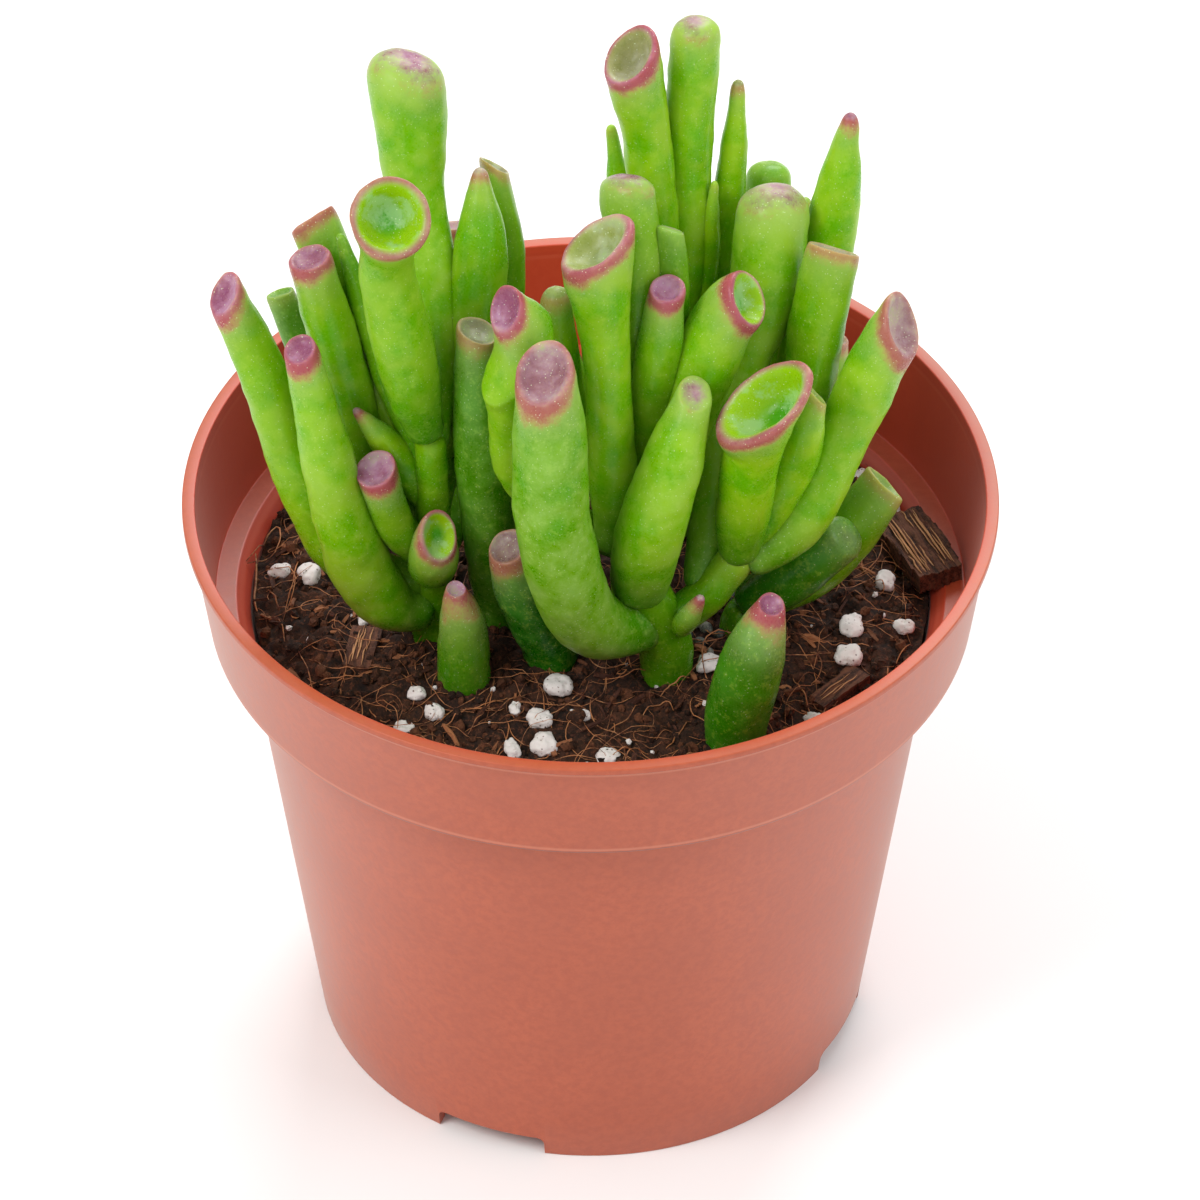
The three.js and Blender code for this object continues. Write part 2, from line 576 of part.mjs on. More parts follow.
addMesh(pottedPlant, "pot", potSolid(), colours.pot, 0.5);
addShoots();
addSoilLeaves();
addGrains();
addChips();
addMesh(pottedPlant, "soil", soil, colours.soil, 1);

export default pottedPlant;
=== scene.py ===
import math
import random
import bpy
import bmesh
from mathutils import Euler, Matrix, Vector, noise
from mathutils.bvhtree import BVHTree


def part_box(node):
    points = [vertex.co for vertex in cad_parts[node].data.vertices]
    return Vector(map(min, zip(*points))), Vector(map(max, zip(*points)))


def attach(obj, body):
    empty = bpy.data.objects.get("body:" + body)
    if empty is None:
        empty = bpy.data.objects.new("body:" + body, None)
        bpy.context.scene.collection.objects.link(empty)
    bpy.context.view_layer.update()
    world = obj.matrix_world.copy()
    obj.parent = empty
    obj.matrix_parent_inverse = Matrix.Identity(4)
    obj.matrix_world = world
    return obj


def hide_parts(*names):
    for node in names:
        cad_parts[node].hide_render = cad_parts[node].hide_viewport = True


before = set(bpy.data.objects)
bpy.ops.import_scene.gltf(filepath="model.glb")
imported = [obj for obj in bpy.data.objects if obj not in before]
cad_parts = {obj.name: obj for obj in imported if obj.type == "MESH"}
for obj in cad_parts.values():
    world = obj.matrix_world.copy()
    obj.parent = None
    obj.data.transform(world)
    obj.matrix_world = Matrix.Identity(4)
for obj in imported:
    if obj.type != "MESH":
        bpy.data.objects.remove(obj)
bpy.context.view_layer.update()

mm = 0.001


# helpers for modelling

def deselectAll():
    if bpy.context.mode != 'OBJECT':
        bpy.ops.object.mode_set(mode='OBJECT')
    bpy.ops.object.select_all(action='DESELECT')


def makeActive(*objects):
    deselectAll()
    for item in objects:
        item.select_set(True)
    bpy.context.view_layer.objects.active = objects[0]


def editMode():
    bpy.ops.object.mode_set(mode='EDIT')


def objectMode():
    bpy.ops.object.mode_set(mode='OBJECT')


def selectWhole():  # edit mode
    bpy.ops.mesh.select_all(action='SELECT')


def named(name):
    piece = bpy.context.object
    piece.name = name
    piece.data.name = name
    return piece


def settle(piece):  # the place goes into the mesh
    makeActive(piece)
    bpy.ops.object.transform_apply(location=True, rotation=True, scale=True)


def addModifier(piece, kind, **settings):
    makeActive(piece)
    modifier = piece.modifiers.new(kind.lower(), kind)
    for key, value in settings.items():
        setattr(modifier, key, value)
    bpy.ops.object.modifier_apply(modifier=modifier.name)


def joinAll(pieces, name):
    makeActive(*pieces)
    bpy.ops.object.join()
    joined = named(name)
    settle(joined)
    return joined


def copyOf(shape, place, turns, scale):  # each copy has its own mesh
    copy = shape.copy()
    copy.data = shape.data.copy()
    bpy.context.collection.objects.link(copy)
    copy.matrix_world = Matrix.LocRotScale(place, Euler(turns), Vector(scale))
    return copy


def discard(pieces):
    for piece in pieces:
        bpy.data.objects.remove(piece)


def vertsWhere(piece, test):  # edit mode: selects the points that pass the test
    mesh = bmesh.from_edit_mesh(piece.data)
    bpy.ops.mesh.select_all(action='DESELECT')
    for vert in mesh.verts:
        if test(vert):
            vert.select_set(True)
    mesh.select_flush_mode()
    bmesh.update_edit_mesh(piece.data)


def axesRound(axis):  # three rows, the last along the axis
    third = axis.normalized()
    first = third.orthogonal().normalized()
    return (first, third.cross(first), third)


def turn(axis, angle, centre):
    if abs(angle) > 1e-4:
        bpy.ops.transform.rotate(value=angle, orient_axis='Z', orient_type='GLOBAL',
                                 orient_matrix=axesRound(axis), orient_matrix_type='GLOBAL',
                                 constraint_axis=(False, False, True), center_override=centre)


def stretch(factors, axes, centre):
    bpy.ops.transform.resize(value=factors, orient_type='GLOBAL', orient_matrix=axes,
                             orient_matrix_type='GLOBAL', center_override=centre)


def resize(factor, centre):
    bpy.ops.transform.resize(value=(factor, factor, factor), center_override=centre)


def pushOut(move):
    bpy.ops.mesh.extrude_region_move(TRANSFORM_OT_translate={'value': move})


def lumps(name, kind, size, **settings):
    texture = bpy.data.textures.new(name, kind)
    texture.noise_scale = size
    for key, value in settings.items():
        setattr(texture, key, value)
    return texture


def displace(piece, texture, strength, **settings):
    addModifier(piece, 'DISPLACE', texture=texture, strength=strength, texture_coords='LOCAL', **settings)


def smoothStep(value, low, high):
    t = min(max((value - low) / (high - low), 0), 1)
    return t * t * (3 - 2 * t)


def markAll(piece, name, value):  # one number all over a piece, to tell copies apart
    mark = piece.data.attributes.new(name, 'FLOAT', 'POINT')
    mark.data.foreach_set('value', [value] * len(piece.data.vertices))


def give(piece, material, slot, *nodes):
    piece.data.materials.clear()
    piece.data.materials.append(material)
    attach(piece, 'root')
    if nodes:
        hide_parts(*nodes)


# shader maths: a wire is a socket that can be added, multiplied and so on

class Wire:
    def __init__(self, finish, socket):
        self.finish = finish
        self.socket = socket

    def maths(self, operation, *values):
        return self.finish.node('Math', {'operation': operation}, dict(enumerate(values)))

    def __add__(self, other):
        return self.maths('ADD', self, other)

    def __mul__(self, other):
        return self.maths('MULTIPLY', self, other)

    def __sub__(self, other):
        return self.maths('SUBTRACT', self, other)

    def __rsub__(self, other):
        return self.maths('SUBTRACT', other, self)

    __radd__ = __add__
    __rmul__ = __mul__


class Finish:
    def __init__(self, name):
        self.material = bpy.data.materials.new(name)
        self.material.use_nodes = True
        self.tree = self.material.node_tree
        self.shader = self.tree.nodes['Principled BSDF']
        self.place = self.node('TexCoord', output='Object')

    def plug(self, socket, value):
        if isinstance(value, Wire):
            self.tree.links.new(value.socket, socket)
        else:
            socket.default_value = value

    def node(self, kind, settings=None, inputs=None, output=0):
        made = self.tree.nodes.new('ShaderNode' + kind)
        for key, value in (settings or {}).items():
            setattr(made, key, value)
        for key, value in (inputs or {}).items():
            self.plug(made.inputs[key], value)
        return Wire(self, made.outputs[output])

    def other(self, wire, output):  # another output of the same node
        return Wire(self, wire.socket.node.outputs[output])

    def channels(self, name):  # the four numbers of a painted attribute
        colour = self.node('Attribute', {'attribute_name': name}, output='Color')
        red = self.node('SeparateColor', inputs={'Color': colour})
        return red, self.other(red, 'Green'), self.other(red, 'Blue'), self.other(colour, 'Alpha')

    def painted(self, name):
        return self.node('Attribute', {'attribute_name': name}, output='Fac')

    def noise(self, size, detail=2.0, roughness=0.5, place=None):  # size of a patch in metres
        return self.node('TexNoise', inputs={'Vector': place or self.place, 'Scale': 1 / size,
                                             'Detail': detail, 'Roughness': roughness})

    def cells(self, size, place=None):
        return self.node('TexVoronoi', inputs={'Vector': place or self.place, 'Scale': 1 / size})

    def turned(self, middle, angle, scale):
        centred = self.node('VectorMath', {'operation': 'SUBTRACT'}, {0: self.place, 1: middle})
        return self.node('Mapping', {'vector_type': 'POINT'},
                         {'Vector': self.node('VectorRotate', {'rotation_type': 'Z_AXIS'},
                                              {'Vector': centred, 'Angle': -angle}), 'Scale': scale})

    def step(self, value, low, high):  # 0 below low, 1 above high, smooth between
        return self.node('MapRange', {'interpolation_type': 'SMOOTHSTEP'},
                         {'Value': value, 'From Min': low, 'From Max': high})

    def blend(self, mask, first, second, kind='MIX'):
        return self.node('Mix', {'data_type': 'RGBA', 'blend_type': kind},
                         {0: mask, 6: first, 7: second}, output=2)

    def bump(self, height, depth, strength=1.0):
        return self.node('Bump', inputs={'Height': height, 'Distance': depth, 'Strength': strength})

    def set(self, **values):
        for key, value in values.items():
            self.plug(self.shader.inputs[key.replace('_', ' ')], value)


def paint(red, green, blue):  # display values from 0 to 255
    linear = []
    for value in (red / 255, green / 255, blue / 255):
        linear.append(value / 12.92 if value <= 0.04045 else ((value + 0.055) / 1.055) ** 2.4)
    return (*linear, 1)


# camera and lights

shot = {
    'target': (1.4 * mm, 0, 74.9 * mm),
    'distance': 1500 * mm,
    'elevation': 41.4,
    'lens': 303.7,  # on a 36 mm wide sensor
}


def addCamera():
    tilt = math.radians(shot['elevation'])
    target = Vector(shot['target'])
    back = Vector((0, -math.cos(tilt), math.sin(tilt)))
    bpy.ops.object.camera_add(location=target + shot['distance'] * back)
    camera = bpy.context.object
    camera.rotation_euler = (-back).to_track_quat('-Z', 'Y').to_euler()
    camera.data.lens = shot['lens']
    camera.data.sensor_width = 36
    camera.data.clip_start = 0.05
    camera.data.clip_end = 20
    bpy.context.scene.camera = camera


studio = {
    'surround': 0.75,
    'softboxes': [  # place in metres, size, watts, colour
        {'place': (-0.9, -0.6, 1.3), 'size': 0.7, 'power': 14, 'colour': (1, 0.985, 0.96)},
        {'place': (1.0, -0.4, 1.0), 'size': 0.7, 'power': 5, 'colour': (0.97, 0.985, 1)},
        {'place': (0.3, 1.2, 1.1), 'size': 0.9, 'power': 15, 'colour': (1, 1, 1)},
    ],
}


def addStudio():
    deselectAll()
    bpy.ops.mesh.primitive_plane_add(size=6, location=(0, 0, 0))
    floor = named('studio_floor')
    sheet = Finish('floor_paper')
    sheet.set(Base_Color=paint(240, 240, 240), Roughness=0.8)
    floor.data.materials.append(sheet.material)
    for box in studio['softboxes']:
        bpy.ops.object.light_add(type='AREA', location=box['place'])
        lamp = bpy.context.object
        lamp.data.shape = 'SQUARE'
        lamp.data.size = box['size']
        lamp.data.energy = box['power']
        lamp.data.color = box['colour']
        aim = Vector((0, 0, 0.09)) - Vector(box['place'])
        lamp.rotation_euler = aim.to_track_quat('-Z', 'Y').to_euler()
    world = bpy.data.worlds.new('pale_studio')
    world.use_nodes = True
    surround = world.node_tree.nodes['Background']
    surround.inputs['Color'].default_value = (1, 1, 1, 1)
    surround.inputs['Strength'].default_value = studio['surround']
    bpy.context.scene.world = world
    bpy.context.scene.view_settings.view_transform = 'Standard'


addCamera()
addStudio()
print('camera and studio ready')


# pot

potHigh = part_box('pot')[1]
pot = {
    'rim': potHigh.x,
    'height': potHigh.z,
    'rimWidth': 1.9 * mm,
    'lip': 1.4 * mm,
    'band': 56.6 * mm,
    'bandHeight': 76 * mm,
    'wallTop': 51.4 * mm,
    'foot': 41.3 * mm,
    'wall': 1.1 * mm,
    'ledge': 77.6 * mm,
    'ledgeInner': 52.4 * mm,
    'footHeight': 3.5 * mm,
    'footWidth': 2 * mm,
    'floor': 1.2 * mm,
    'notches': 4,
    'notchAngle': -111.5,
    'notchWidth': 17 * mm,
    'drain': 4 * mm,
    'drainDistance': 31 * mm,
    'steps': 192,
    'edgeRadius': 0.45 * mm,
    'notchRadius': 1.2 * mm,
}


def potProfile():
    top = pot['height']
    inner = pot['rim'] - pot['rimWidth']
    innerBand = pot['band'] - pot['wall']
    innerWall = pot['wallTop'] - pot['wall']
    innerFoot = pot['foot'] - pot['wall']
    floorTop = pot['footHeight'] + pot['floor']
    low = 2 * pot['footHeight'] + pot['floor']  # rings that keep the notches to the foot
    share = low / (pot['bandHeight'] - 0.8 * mm)
    slope = (low - floorTop) / (pot['ledge'] - 2 * mm - floorTop)
    return [
        (0, pot['footHeight']),
        (pot['foot'] - pot['footWidth'], pot['footHeight']),
        (pot['foot'] - pot['footWidth'], 0),
        (pot['foot'] - 0.1 * mm, 0),
        (pot['foot'] - 0.1 * mm + share * (pot['wallTop'] - pot['foot'] + 0.1 * mm), low),
        (pot['wallTop'], pot['bandHeight'] - 0.8 * mm),
        (pot['band'] - 0.3 * mm, pot['bandHeight']),
        (pot['band'], pot['bandHeight'] + 0.3 * mm),
        (pot['rim'] - 0.9 * mm, top - pot['lip']),
        (pot['rim'], top - pot['lip'] + 0.3 * mm),
        (pot['rim'], top),
        (inner, top),
        (innerBand, pot['ledge']),
        (pot['ledgeInner'], pot['ledge']),
        (innerWall, pot['ledge'] - 2 * mm),
        (innerFoot + slope * (innerWall - innerFoot), low),
        (innerFoot, floorTop),
        (0, floorTop),
    ]


def addPot():
    deselectAll()
    points = [Vector((radius, 0, height)) for radius, height in potProfile()]
    bpy.ops.mesh.primitive_plane_add(size=1 * mm, location=points[0])
    shell = named('grower_pot')
    editMode()
    bpy.ops.mesh.merge(type='CENTER')  # one point, drawn out along the profile
    for start, end in zip(points, points[1:]):
        pushOut(end - start)
    selectWhole()
    bpy.ops.mesh.spin(steps=pot['steps'], angle=2 * math.pi, center=(0, 0, 0), axis=(0, 0, 1))
    selectWhole()
    bpy.ops.mesh.remove_doubles(threshold=0.01 * mm)
    bpy.ops.mesh.normals_make_consistent(inside=False)
    objectMode()
    settle(shell)
    addModifier(shell, 'BEVEL', width=pot['edgeRadius'], segments=4, limit_method='ANGLE',
                angle_limit=math.radians(25))
    for i in range(pot['notches']):
        cutNotch(shell, math.radians(pot['notchAngle'] + 360 * i / pot['notches']))
    makeActive(shell)
    bpy.ops.object.shade_smooth_by_angle(angle=math.radians(30))
    return shell


def cutNotch(shell, angle):
    heading = Vector((math.cos(angle), math.sin(angle), 0))
    deselectAll()
    bpy.ops.mesh.primitive_cube_add(size=1, location=heading * pot['foot'], rotation=(0, 0, angle),
                                    scale=(12 * mm, pot['notchWidth'], 2 * pot['footHeight']))
    notch = named('notch')
    settle(notch)
    addModifier(notch, 'BEVEL', width=pot['notchRadius'], segments=5, limit_method='ANGLE')
    bpy.ops.mesh.primitive_cylinder_add(vertices=40, radius=pot['drain'], depth=14 * mm,
                                        location=heading * pot['drainDistance'])
    drain = named('drain')
    settle(drain)
    for cutter in (notch, drain):
        addModifier(shell, 'BOOLEAN', operation='DIFFERENCE', object=cutter, solver='EXACT')
        discard([cutter])


def markInnerInterreflection(shell):  # 1 where the wall faces the plant, 0 outside; marks the painted interreflection
    shell.data.attributes.new('innerInterreflection', 'FLOAT_COLOR', 'POINT')
    marks = shell.data.attributes['innerInterreflection'].data
    for vert in shell.data.vertices:
        facing = -vert.normal.x * vert.co.x - vert.normal.y * vert.co.y
        marks[vert.index].color = (min(max(facing / (10 * mm), 0), 1), 0, 0, 1)


def plasticFinish():
    skin = Finish('pot_plastic')
    innerInterreflection = skin.channels('innerInterreflection')[0]
    cloud = skin.noise(14 * mm, detail=2)
    mottle = skin.noise(1.3 * mm, detail=3, roughness=0.7)
    colour = skin.blend(skin.step(mottle, 0.3, 0.7), paint(166, 72, 40), paint(179, 83, 49))
    colour = skin.blend(skin.step(cloud, 0.35, 0.65) * 0.3, colour, paint(160, 72, 44))
    height = skin.other(skin.node('SeparateXYZ', inputs={'Vector': skin.place}), 'Z')
    above = height - pot['bandHeight']
    bandShadeLine = skin.step(above, -0.6 * mm, -0.2 * mm) * skin.step(above, 0.55 * mm, 0.25 * mm)
    bandHighlight = skin.step(above, 0.45 * mm, 0.75 * mm) * skin.step(above, 1.3 * mm, 0.9 * mm)
    lipLow = pot['height'] - pot['lip']
    lipShadeLine = skin.step(height, lipLow - 0.35 * mm, lipLow)
    lipShadeLine = lipShadeLine * skin.step(height, lipLow + 0.5 * mm, lipLow + 0.1 * mm)
    lipHighlight = skin.step(height, lipLow - 1 * mm, lipLow - 0.7 * mm)
    lipHighlight = lipHighlight * skin.step(height, lipLow - 0.1 * mm, lipLow - 0.4 * mm)
    colour = skin.blend(bandShadeLine * 0.8, colour, paint(98, 42, 30))  # painted shade in the crease under the band
    colour = skin.blend((bandHighlight + lipHighlight) * 0.4, colour, paint(206, 130, 102))  # painted highlight on the band and lip edges
    # painted shade in the groove under the lip
    colour = skin.blend(lipShadeLine * 0.35, colour, paint(120, 52, 34))
    # painted highlight along the top of the rim
    rimTopHighlight = skin.step(height, pot['height'] - 0.35 * mm, pot['height'])
    colour = skin.blend(rimTopHighlight * 0.4, colour, paint(188, 88, 52))
    colour = skin.blend(innerInterreflection * 0.75, colour, paint(200, 62, 36))  # painted interreflection: a deeper red on the inner wall
    skin.set(Base_Color=colour, Roughness=0.34 + mottle * 0.14, IOR=1.5,
             Sheen_Weight=0.2, Sheen_Roughness=0.4, Sheen_Tint=(0.8, 1, 0.95, 1),
             Normal=skin.bump(mottle, 0.06 * mm, 0.3))
    return skin.material


growerPot = addPot()
markInnerInterreflection(growerPot)
give(growerPot, plasticFinish(), 'pot_plastic', 'pot')
print('pot ready')


# soil

soilPlan = {
    'level': 79 * mm,
    'mound': 0.8 * mm,
    'edgeDrop': 2.4 * mm,
    'edgeStart': 41 * mm,
    'wall': pot['wallTop'] - pot['wall'],
    'clearance': 0.4 * mm,
    'grid': 0.5 * mm,
    'trims': 48,
    'heaps': (8 * mm, 2.6 * mm),  # size and depth
    'clods': (2.2 * mm, -1.8 * mm),
    'grit': (0.8 * mm, 1.2 * mm),
}


def soilHeight(x, y):
    radius = math.hypot(x, y)
    drop = soilPlan['edgeDrop'] * smoothStep(radius, soilPlan['edgeStart'], soilPlan['wall'])
    return soilPlan['level'] + soilPlan['mound'] * (1 - (radius / soilPlan['wall']) ** 2) - drop


def addSoil():
    deselectAll()
    reach = soilPlan['wall'] - soilPlan['clearance']
    cuts = round(2 * reach / soilPlan['grid'])
    bpy.ops.mesh.primitive_grid_add(x_subdivisions=cuts, y_subdivisions=cuts, size=2.02 * reach,
                                    location=(0, 0, 0))
    soil = named('soil_bed')
    editMode()
    for i in range(soilPlan['trims']):
        angle = 2 * math.pi * i / soilPlan['trims']
        heading = Vector((math.cos(angle), math.sin(angle), 0))
        selectWhole()
        bpy.ops.mesh.bisect(plane_co=heading * reach, plane_no=heading, clear_outer=True,
                            threshold=0.01 * mm)
    objectMode()
    for vert in soil.data.vertices:
        vert.co.z = soilHeight(vert.co.x, vert.co.y)
    size, depth = soilPlan['heaps']
    displace(soil, lumps('soilHeaps', 'CLOUDS', size), depth, mid_level=0.5, direction='Z')
    size, depth = soilPlan['clods']
    displace(soil, lumps('soilClods', 'VORONOI', size), depth, mid_level=0.35, direction='Z')
    size, depth = soilPlan['grit']
    displace(soil, lumps('soilGrit', 'CLOUDS', size, noise_depth=3), depth, mid_level=0.5, direction='Z')
    editMode()
    selectWhole()
    bpy.ops.mesh.region_to_loop()
    bottom = pot['footHeight'] + pot['floor']
    narrow = (pot['foot'] - 3 * mm) / reach
    bpy.ops.mesh.extrude_edges_move(TRANSFORM_OT_translate={'value': (0, 0, bottom - soilPlan['level'])})
    bpy.ops.transform.resize(value=(narrow, narrow, 1), center_override=(0, 0, 0))
    bpy.ops.transform.resize(value=(1, 1, 0), center_override=(0, 0, bottom))
    bpy.ops.mesh.edge_face_add()
    selectWhole()
    bpy.ops.mesh.normals_make_consistent(inside=False)
    bpy.ops.mesh.faces_shade_smooth()
    objectMode()
    return soil


def peatFinish():
    peat = Finish('coir_soil')
    patch = peat.noise(4 * mm, detail=3, roughness=0.65)
    fine = peat.noise(0.8 * mm, detail=4, roughness=0.75)
    colour = peat.blend(peat.step(patch, 0.3, 0.7), paint(30, 16, 9), paint(64, 37, 22))
    colour = peat.blend(peat.step(fine, 0.52, 0.66) * 0.7, colour, paint(108, 62, 40))
    colour = peat.blend(peat.step(fine, 0.48, 0.34) * 0.8, colour, paint(14, 8, 7))
    peat.set(Base_Color=colour, Roughness=0.85, Specular_IOR_Level=0.3,
             Normal=peat.bump(fine, 0.5 * mm, 0.9))
    return peat.material


soilBed = addSoil()
give(soilBed, peatFinish(), 'soil', 'soil')
print('soil ready')


# loose bits on the soil

loose = {
    'seed': 11,
    'crumbs': 2300,
    'crumbSize': (0.26 * mm, 0.9 * mm),
    'slivers': 380,
    'sliverLength': (1.4 * mm, 6 * mm),
    'grit': 70,
    'gritSize': (0.2 * mm, 0.5 * mm),
    'fibres': 760,
    'fibreLength': (4 * mm, 17 * mm),
    'fibreRadius': (0.05 * mm, 0.11 * mm),
    'fibreSteps': 13,
    'fibreArch': 2.6 * mm,
    'reach': 49.6 * mm,
    'pebbles': [(19, -5, 1.3), (18, -8, 1.1), (20.5, -8.5, 1), (17, -11.5, 1.4), (19, -13, 1),
                (16, -15, 1.2), (15.5, -6, 0.9), (17.5, -17, 0.9), (21, -4, 1.1), (14.5, -12.5, 0.9)],
}
chance = random.Random(loose['seed'])
soilSurface = BVHTree.FromObject(soilBed, bpy.context.evaluated_depsgraph_get())


def groundAt(x, y):
    place = soilSurface.ray_cast(Vector((x, y, 0.2)), Vector((0, 0, -1)))[0]
    return place.z if place else soilHeight(x, y)


def mostlySmall(sizes):  # a chance size, nearer the low end
    low, high = sizes
    return low + (high - low) * chance.random() ** 2


def anyTurn():
    return [chance.uniform(0, 6.28) for i in range(3)]


def spotInPot(reach):
    radius = reach * math.sqrt(chance.random())
    angle = chance.uniform(0, 2 * math.pi)
    return radius * math.cos(angle), radius * math.sin(angle)


def crumbShapes():
    shapes = []
    for i in range(5):
        deselectAll()
        bpy.ops.mesh.primitive_uv_sphere_add(segments=7, ring_count=5, radius=1, location=(0, 0, 0))
        shape = named('crumb_shape')
        editMode()
        selectWhole()
        bpy.ops.transform.vertex_random(offset=0.42, seed=i + 1)
        objectMode()
        shapes.append(shape)
    return shapes


def sliverShapes():
    shapes = []
    for i in range(4):
        deselectAll()
        bpy.ops.mesh.primitive_cube_add(size=1, location=(0, 0, 0), scale=(1, 0.2, 0.1))
        shape = named('sliver_shape')
        settle(shape)
        editMode()
        selectWhole()
        bpy.ops.mesh.subdivide(number_cuts=2)
        bpy.ops.transform.vertex_random(offset=0.045, seed=i + 3)
        objectMode()
        for vert in shape.data.vertices:  # ends drawn out and bent
            taper = 1 - 1.3 * abs(vert.co.x) ** 2
            vert.co.y *= taper
            vert.co.z = vert.co.z * taper - 0.25 * vert.co.x ** 2
        shapes.append(shape)
    return shapes


def scatter(shapes, count, place, name):
    copies = []
    for i in range(count):
        copy = copyOf(shapes[i % len(shapes)], *place())
        markAll(copy, 'shade', chance.random())
        copies.append(copy)
    joined = joinAll(copies, name)
    discard(shapes)
    return joined


def crumbPlace():
    x, y = spotInPot(loose['reach'])
    size = mostlySmall(loose['crumbSize'])
    turns = anyTurn()
    scale = [size * chance.uniform(0.7, 1.3) for i in range(3)]
    return Vector((x, y, groundAt(x, y) + 0.25 * size)), turns, scale


def sliverPlace():
    x, y = spotInPot(loose['reach'] - 1.5 * mm)
    size = mostlySmall(loose['sliverLength'])
    turns = (chance.gauss(0, 0.5), chance.gauss(0, 0.3), chance.uniform(0, 6.28))
    wide = min(size, 3 * mm) * chance.uniform(0.7, 1.7)
    return Vector((x, y, groundAt(x, y) + 0.3 * mm)), turns, (size, wide, wide)


def gritPlace():
    x, y = spotInPot(loose['reach'])
    size = chance.uniform(*loose['gritSize'])
    return Vector((x, y, groundAt(x, y) + 0.5 * size)), anyTurn(), (size, size, size)


def fibreLine():  # a curl that lies on the soil
    x, y = spotInPot(loose['reach'] - 1 * mm)
    length = mostlySmall(loose['fibreLength'])
    steps = loose['fibreSteps']
    heading = chance.uniform(0, 2 * math.pi)
    bend = chance.gauss(0, 0.13)
    arch = chance.random() ** 3 * loose['fibreArch']
    line = []
    for i in range(steps + 1):
        if math.hypot(x, y) > loose['reach']:
            break
        line.append(Vector((x, y, groundAt(x, y) + 0.2 * mm + arch * math.sin(math.pi * i / steps))))
        x += math.cos(heading) * length / steps
        y += math.sin(heading) * length / steps
        heading += bend
        bend += chance.gauss(0, 0.06)
    for i in range(1, len(line) - 1):
        line[i].z = max(line[i].z, (line[i - 1].z + line[i + 1].z) / 2)
    return line


strands = [  # long coir strands that stand out, points in millimetres
    {'thick': 0.13, 'lift': 0.9, 'path': [(-51.2, 6.5), (-49.5, 9), (-48, 11.5), (-46.8, 13.4),
                                          (-46.2, 12), (-46.3, 9.7), (-47.2, 7.3), (-49.3, 6.3), (-51, 6)]},
    {'thick': 0.2, 'lift': 0.5, 'path': [(-49.8, 8.1), (-49.6, 5.4), (-49.6, 1.4), (-49.7, -2.2),
                                         (-49.2, -5.2)]},
    {'thick': 0.1, 'lift': 0.6, 'path': [(-42.8, 6), (-43.8, 0.4), (-44.5, -3.7)]},
    {'thick': 0.09, 'lift': 0.5, 'path': [(-42.2, -1.7), (-39.8, -3.3), (-37, -4.5), (-34, -5)]},
    {'thick': 0.12, 'lift': 0.5, 'path': [(-48, -0.3), (-46.6, -3.8), (-46, -5.4), (-44.5, -6.3)]},
    {'thick': 0.09, 'lift': 0.7, 'path': [(-39.4, -10), (-37.5, -7.3), (-35.7, -6.4)]},
    {'thick': 0.1, 'lift': 0.5, 'path': [(-39.8, -8.9), (-37, -10.9), (-34, -12.5)]},
    {'thick': 0.12, 'lift': 0.6, 'path': [(-21.7, -32.8), (-19.4, -31), (-17, -29.5), (-13.9, -29),
                                          (-12.6, -28.4)]},
    {'thick': 0.1, 'lift': 0.4, 'path': [(-46, -7.4), (-45.3, -10), (-45, -12.5)]},
    {'thick': 0.1, 'lift': 0.5, 'path': [(31.7, -14.7), (34, -15.1), (37.2, -15.1), (41.7, -14.7)]},
    {'thick': 0.12, 'lift': 0.6, 'path': [(29.5, -22.8), (31, -26.3), (32, -29.5)]},
    {'thick': 0.12, 'lift': 0.8, 'path': [(7.3, -30.9), (8.9, -29), (11.1, -28.7), (12.1, -29.7)]},
    {'thick': 0.14, 'lift': 0.9, 'path': [(10.2, -26.3), (12.8, -23.9), (14.7, -22.4)]},
    {'thick': 0.15, 'lift': 0.3, 'path': [(32.3, -16.5), (34, -18.5)]},
    {'thick': 0.12, 'lift': 1.2, 'path': [(43.7, -17.6), (43.4, -21.5)]},
    {'thick': 0.1, 'lift': 1.4, 'path': [(39.7, 24), (40.5, 20), (42, 16), (44.5, 13)]},
]


def addFibres():
    deselectAll()
    bpy.ops.curve.primitive_nurbs_path_add(radius=1 * mm, location=(0, 0, 0))
    fibres = named('coir_fibres')
    curve = fibres.data
    curve.splines.clear()
    curve.dimensions = '3D'
    curve.bevel_depth = 1
    curve.bevel_resolution = 0
    curve.use_fill_caps = True
    lines = [(fibreLine(), mostlySmall(loose['fibreRadius'])) for i in range(loose['fibres'])]
    for strand in strands:
        places, headings, length = curvePoints([(x, y, 0) for x, y in strand['path']], 16)
        for i, place in enumerate(places):
            lift = strand['lift'] * mm * math.sin(math.pi * i / (len(places) - 1))
            place.z = groundAt(place.x, place.y) + 0.3 * mm + lift
        lines.append((places, strand['thick'] * mm))
    for line, radius in lines:
        if len(line) < 5:
            continue
        spline = curve.splines.new('POLY')
        spline.points.add(len(line) - 1)
        for i, (point, place) in enumerate(zip(spline.points, line)):
            point.co = (*place, 1)
            point.radius = radius * (0.45 + 0.55 * math.sin(math.pi * (i + 0.4) / len(line)))
    makeActive(fibres)
    bpy.ops.object.convert(target='MESH')
    fibres = named('coir_fibres')
    bpy.ops.object.shade_smooth()
    return fibres


def fibreFinish():
    hair = Finish('coir_fibre')
    change = hair.noise(3.5 * mm, detail=2)
    fine = hair.noise(0.7 * mm, detail=2)
    colour = hair.blend(hair.step(change, 0.38, 0.62), paint(92, 46, 26), paint(176, 112, 68))
    colour = hair.blend(hair.step(fine, 0.4, 0.7) * 0.5, colour, paint(206, 150, 102))
    hair.set(Base_Color=colour, Roughness=0.6, Specular_IOR_Level=0.4,
             Normal=hair.bump(fine, 0.1 * mm, 0.4))
    return hair.material


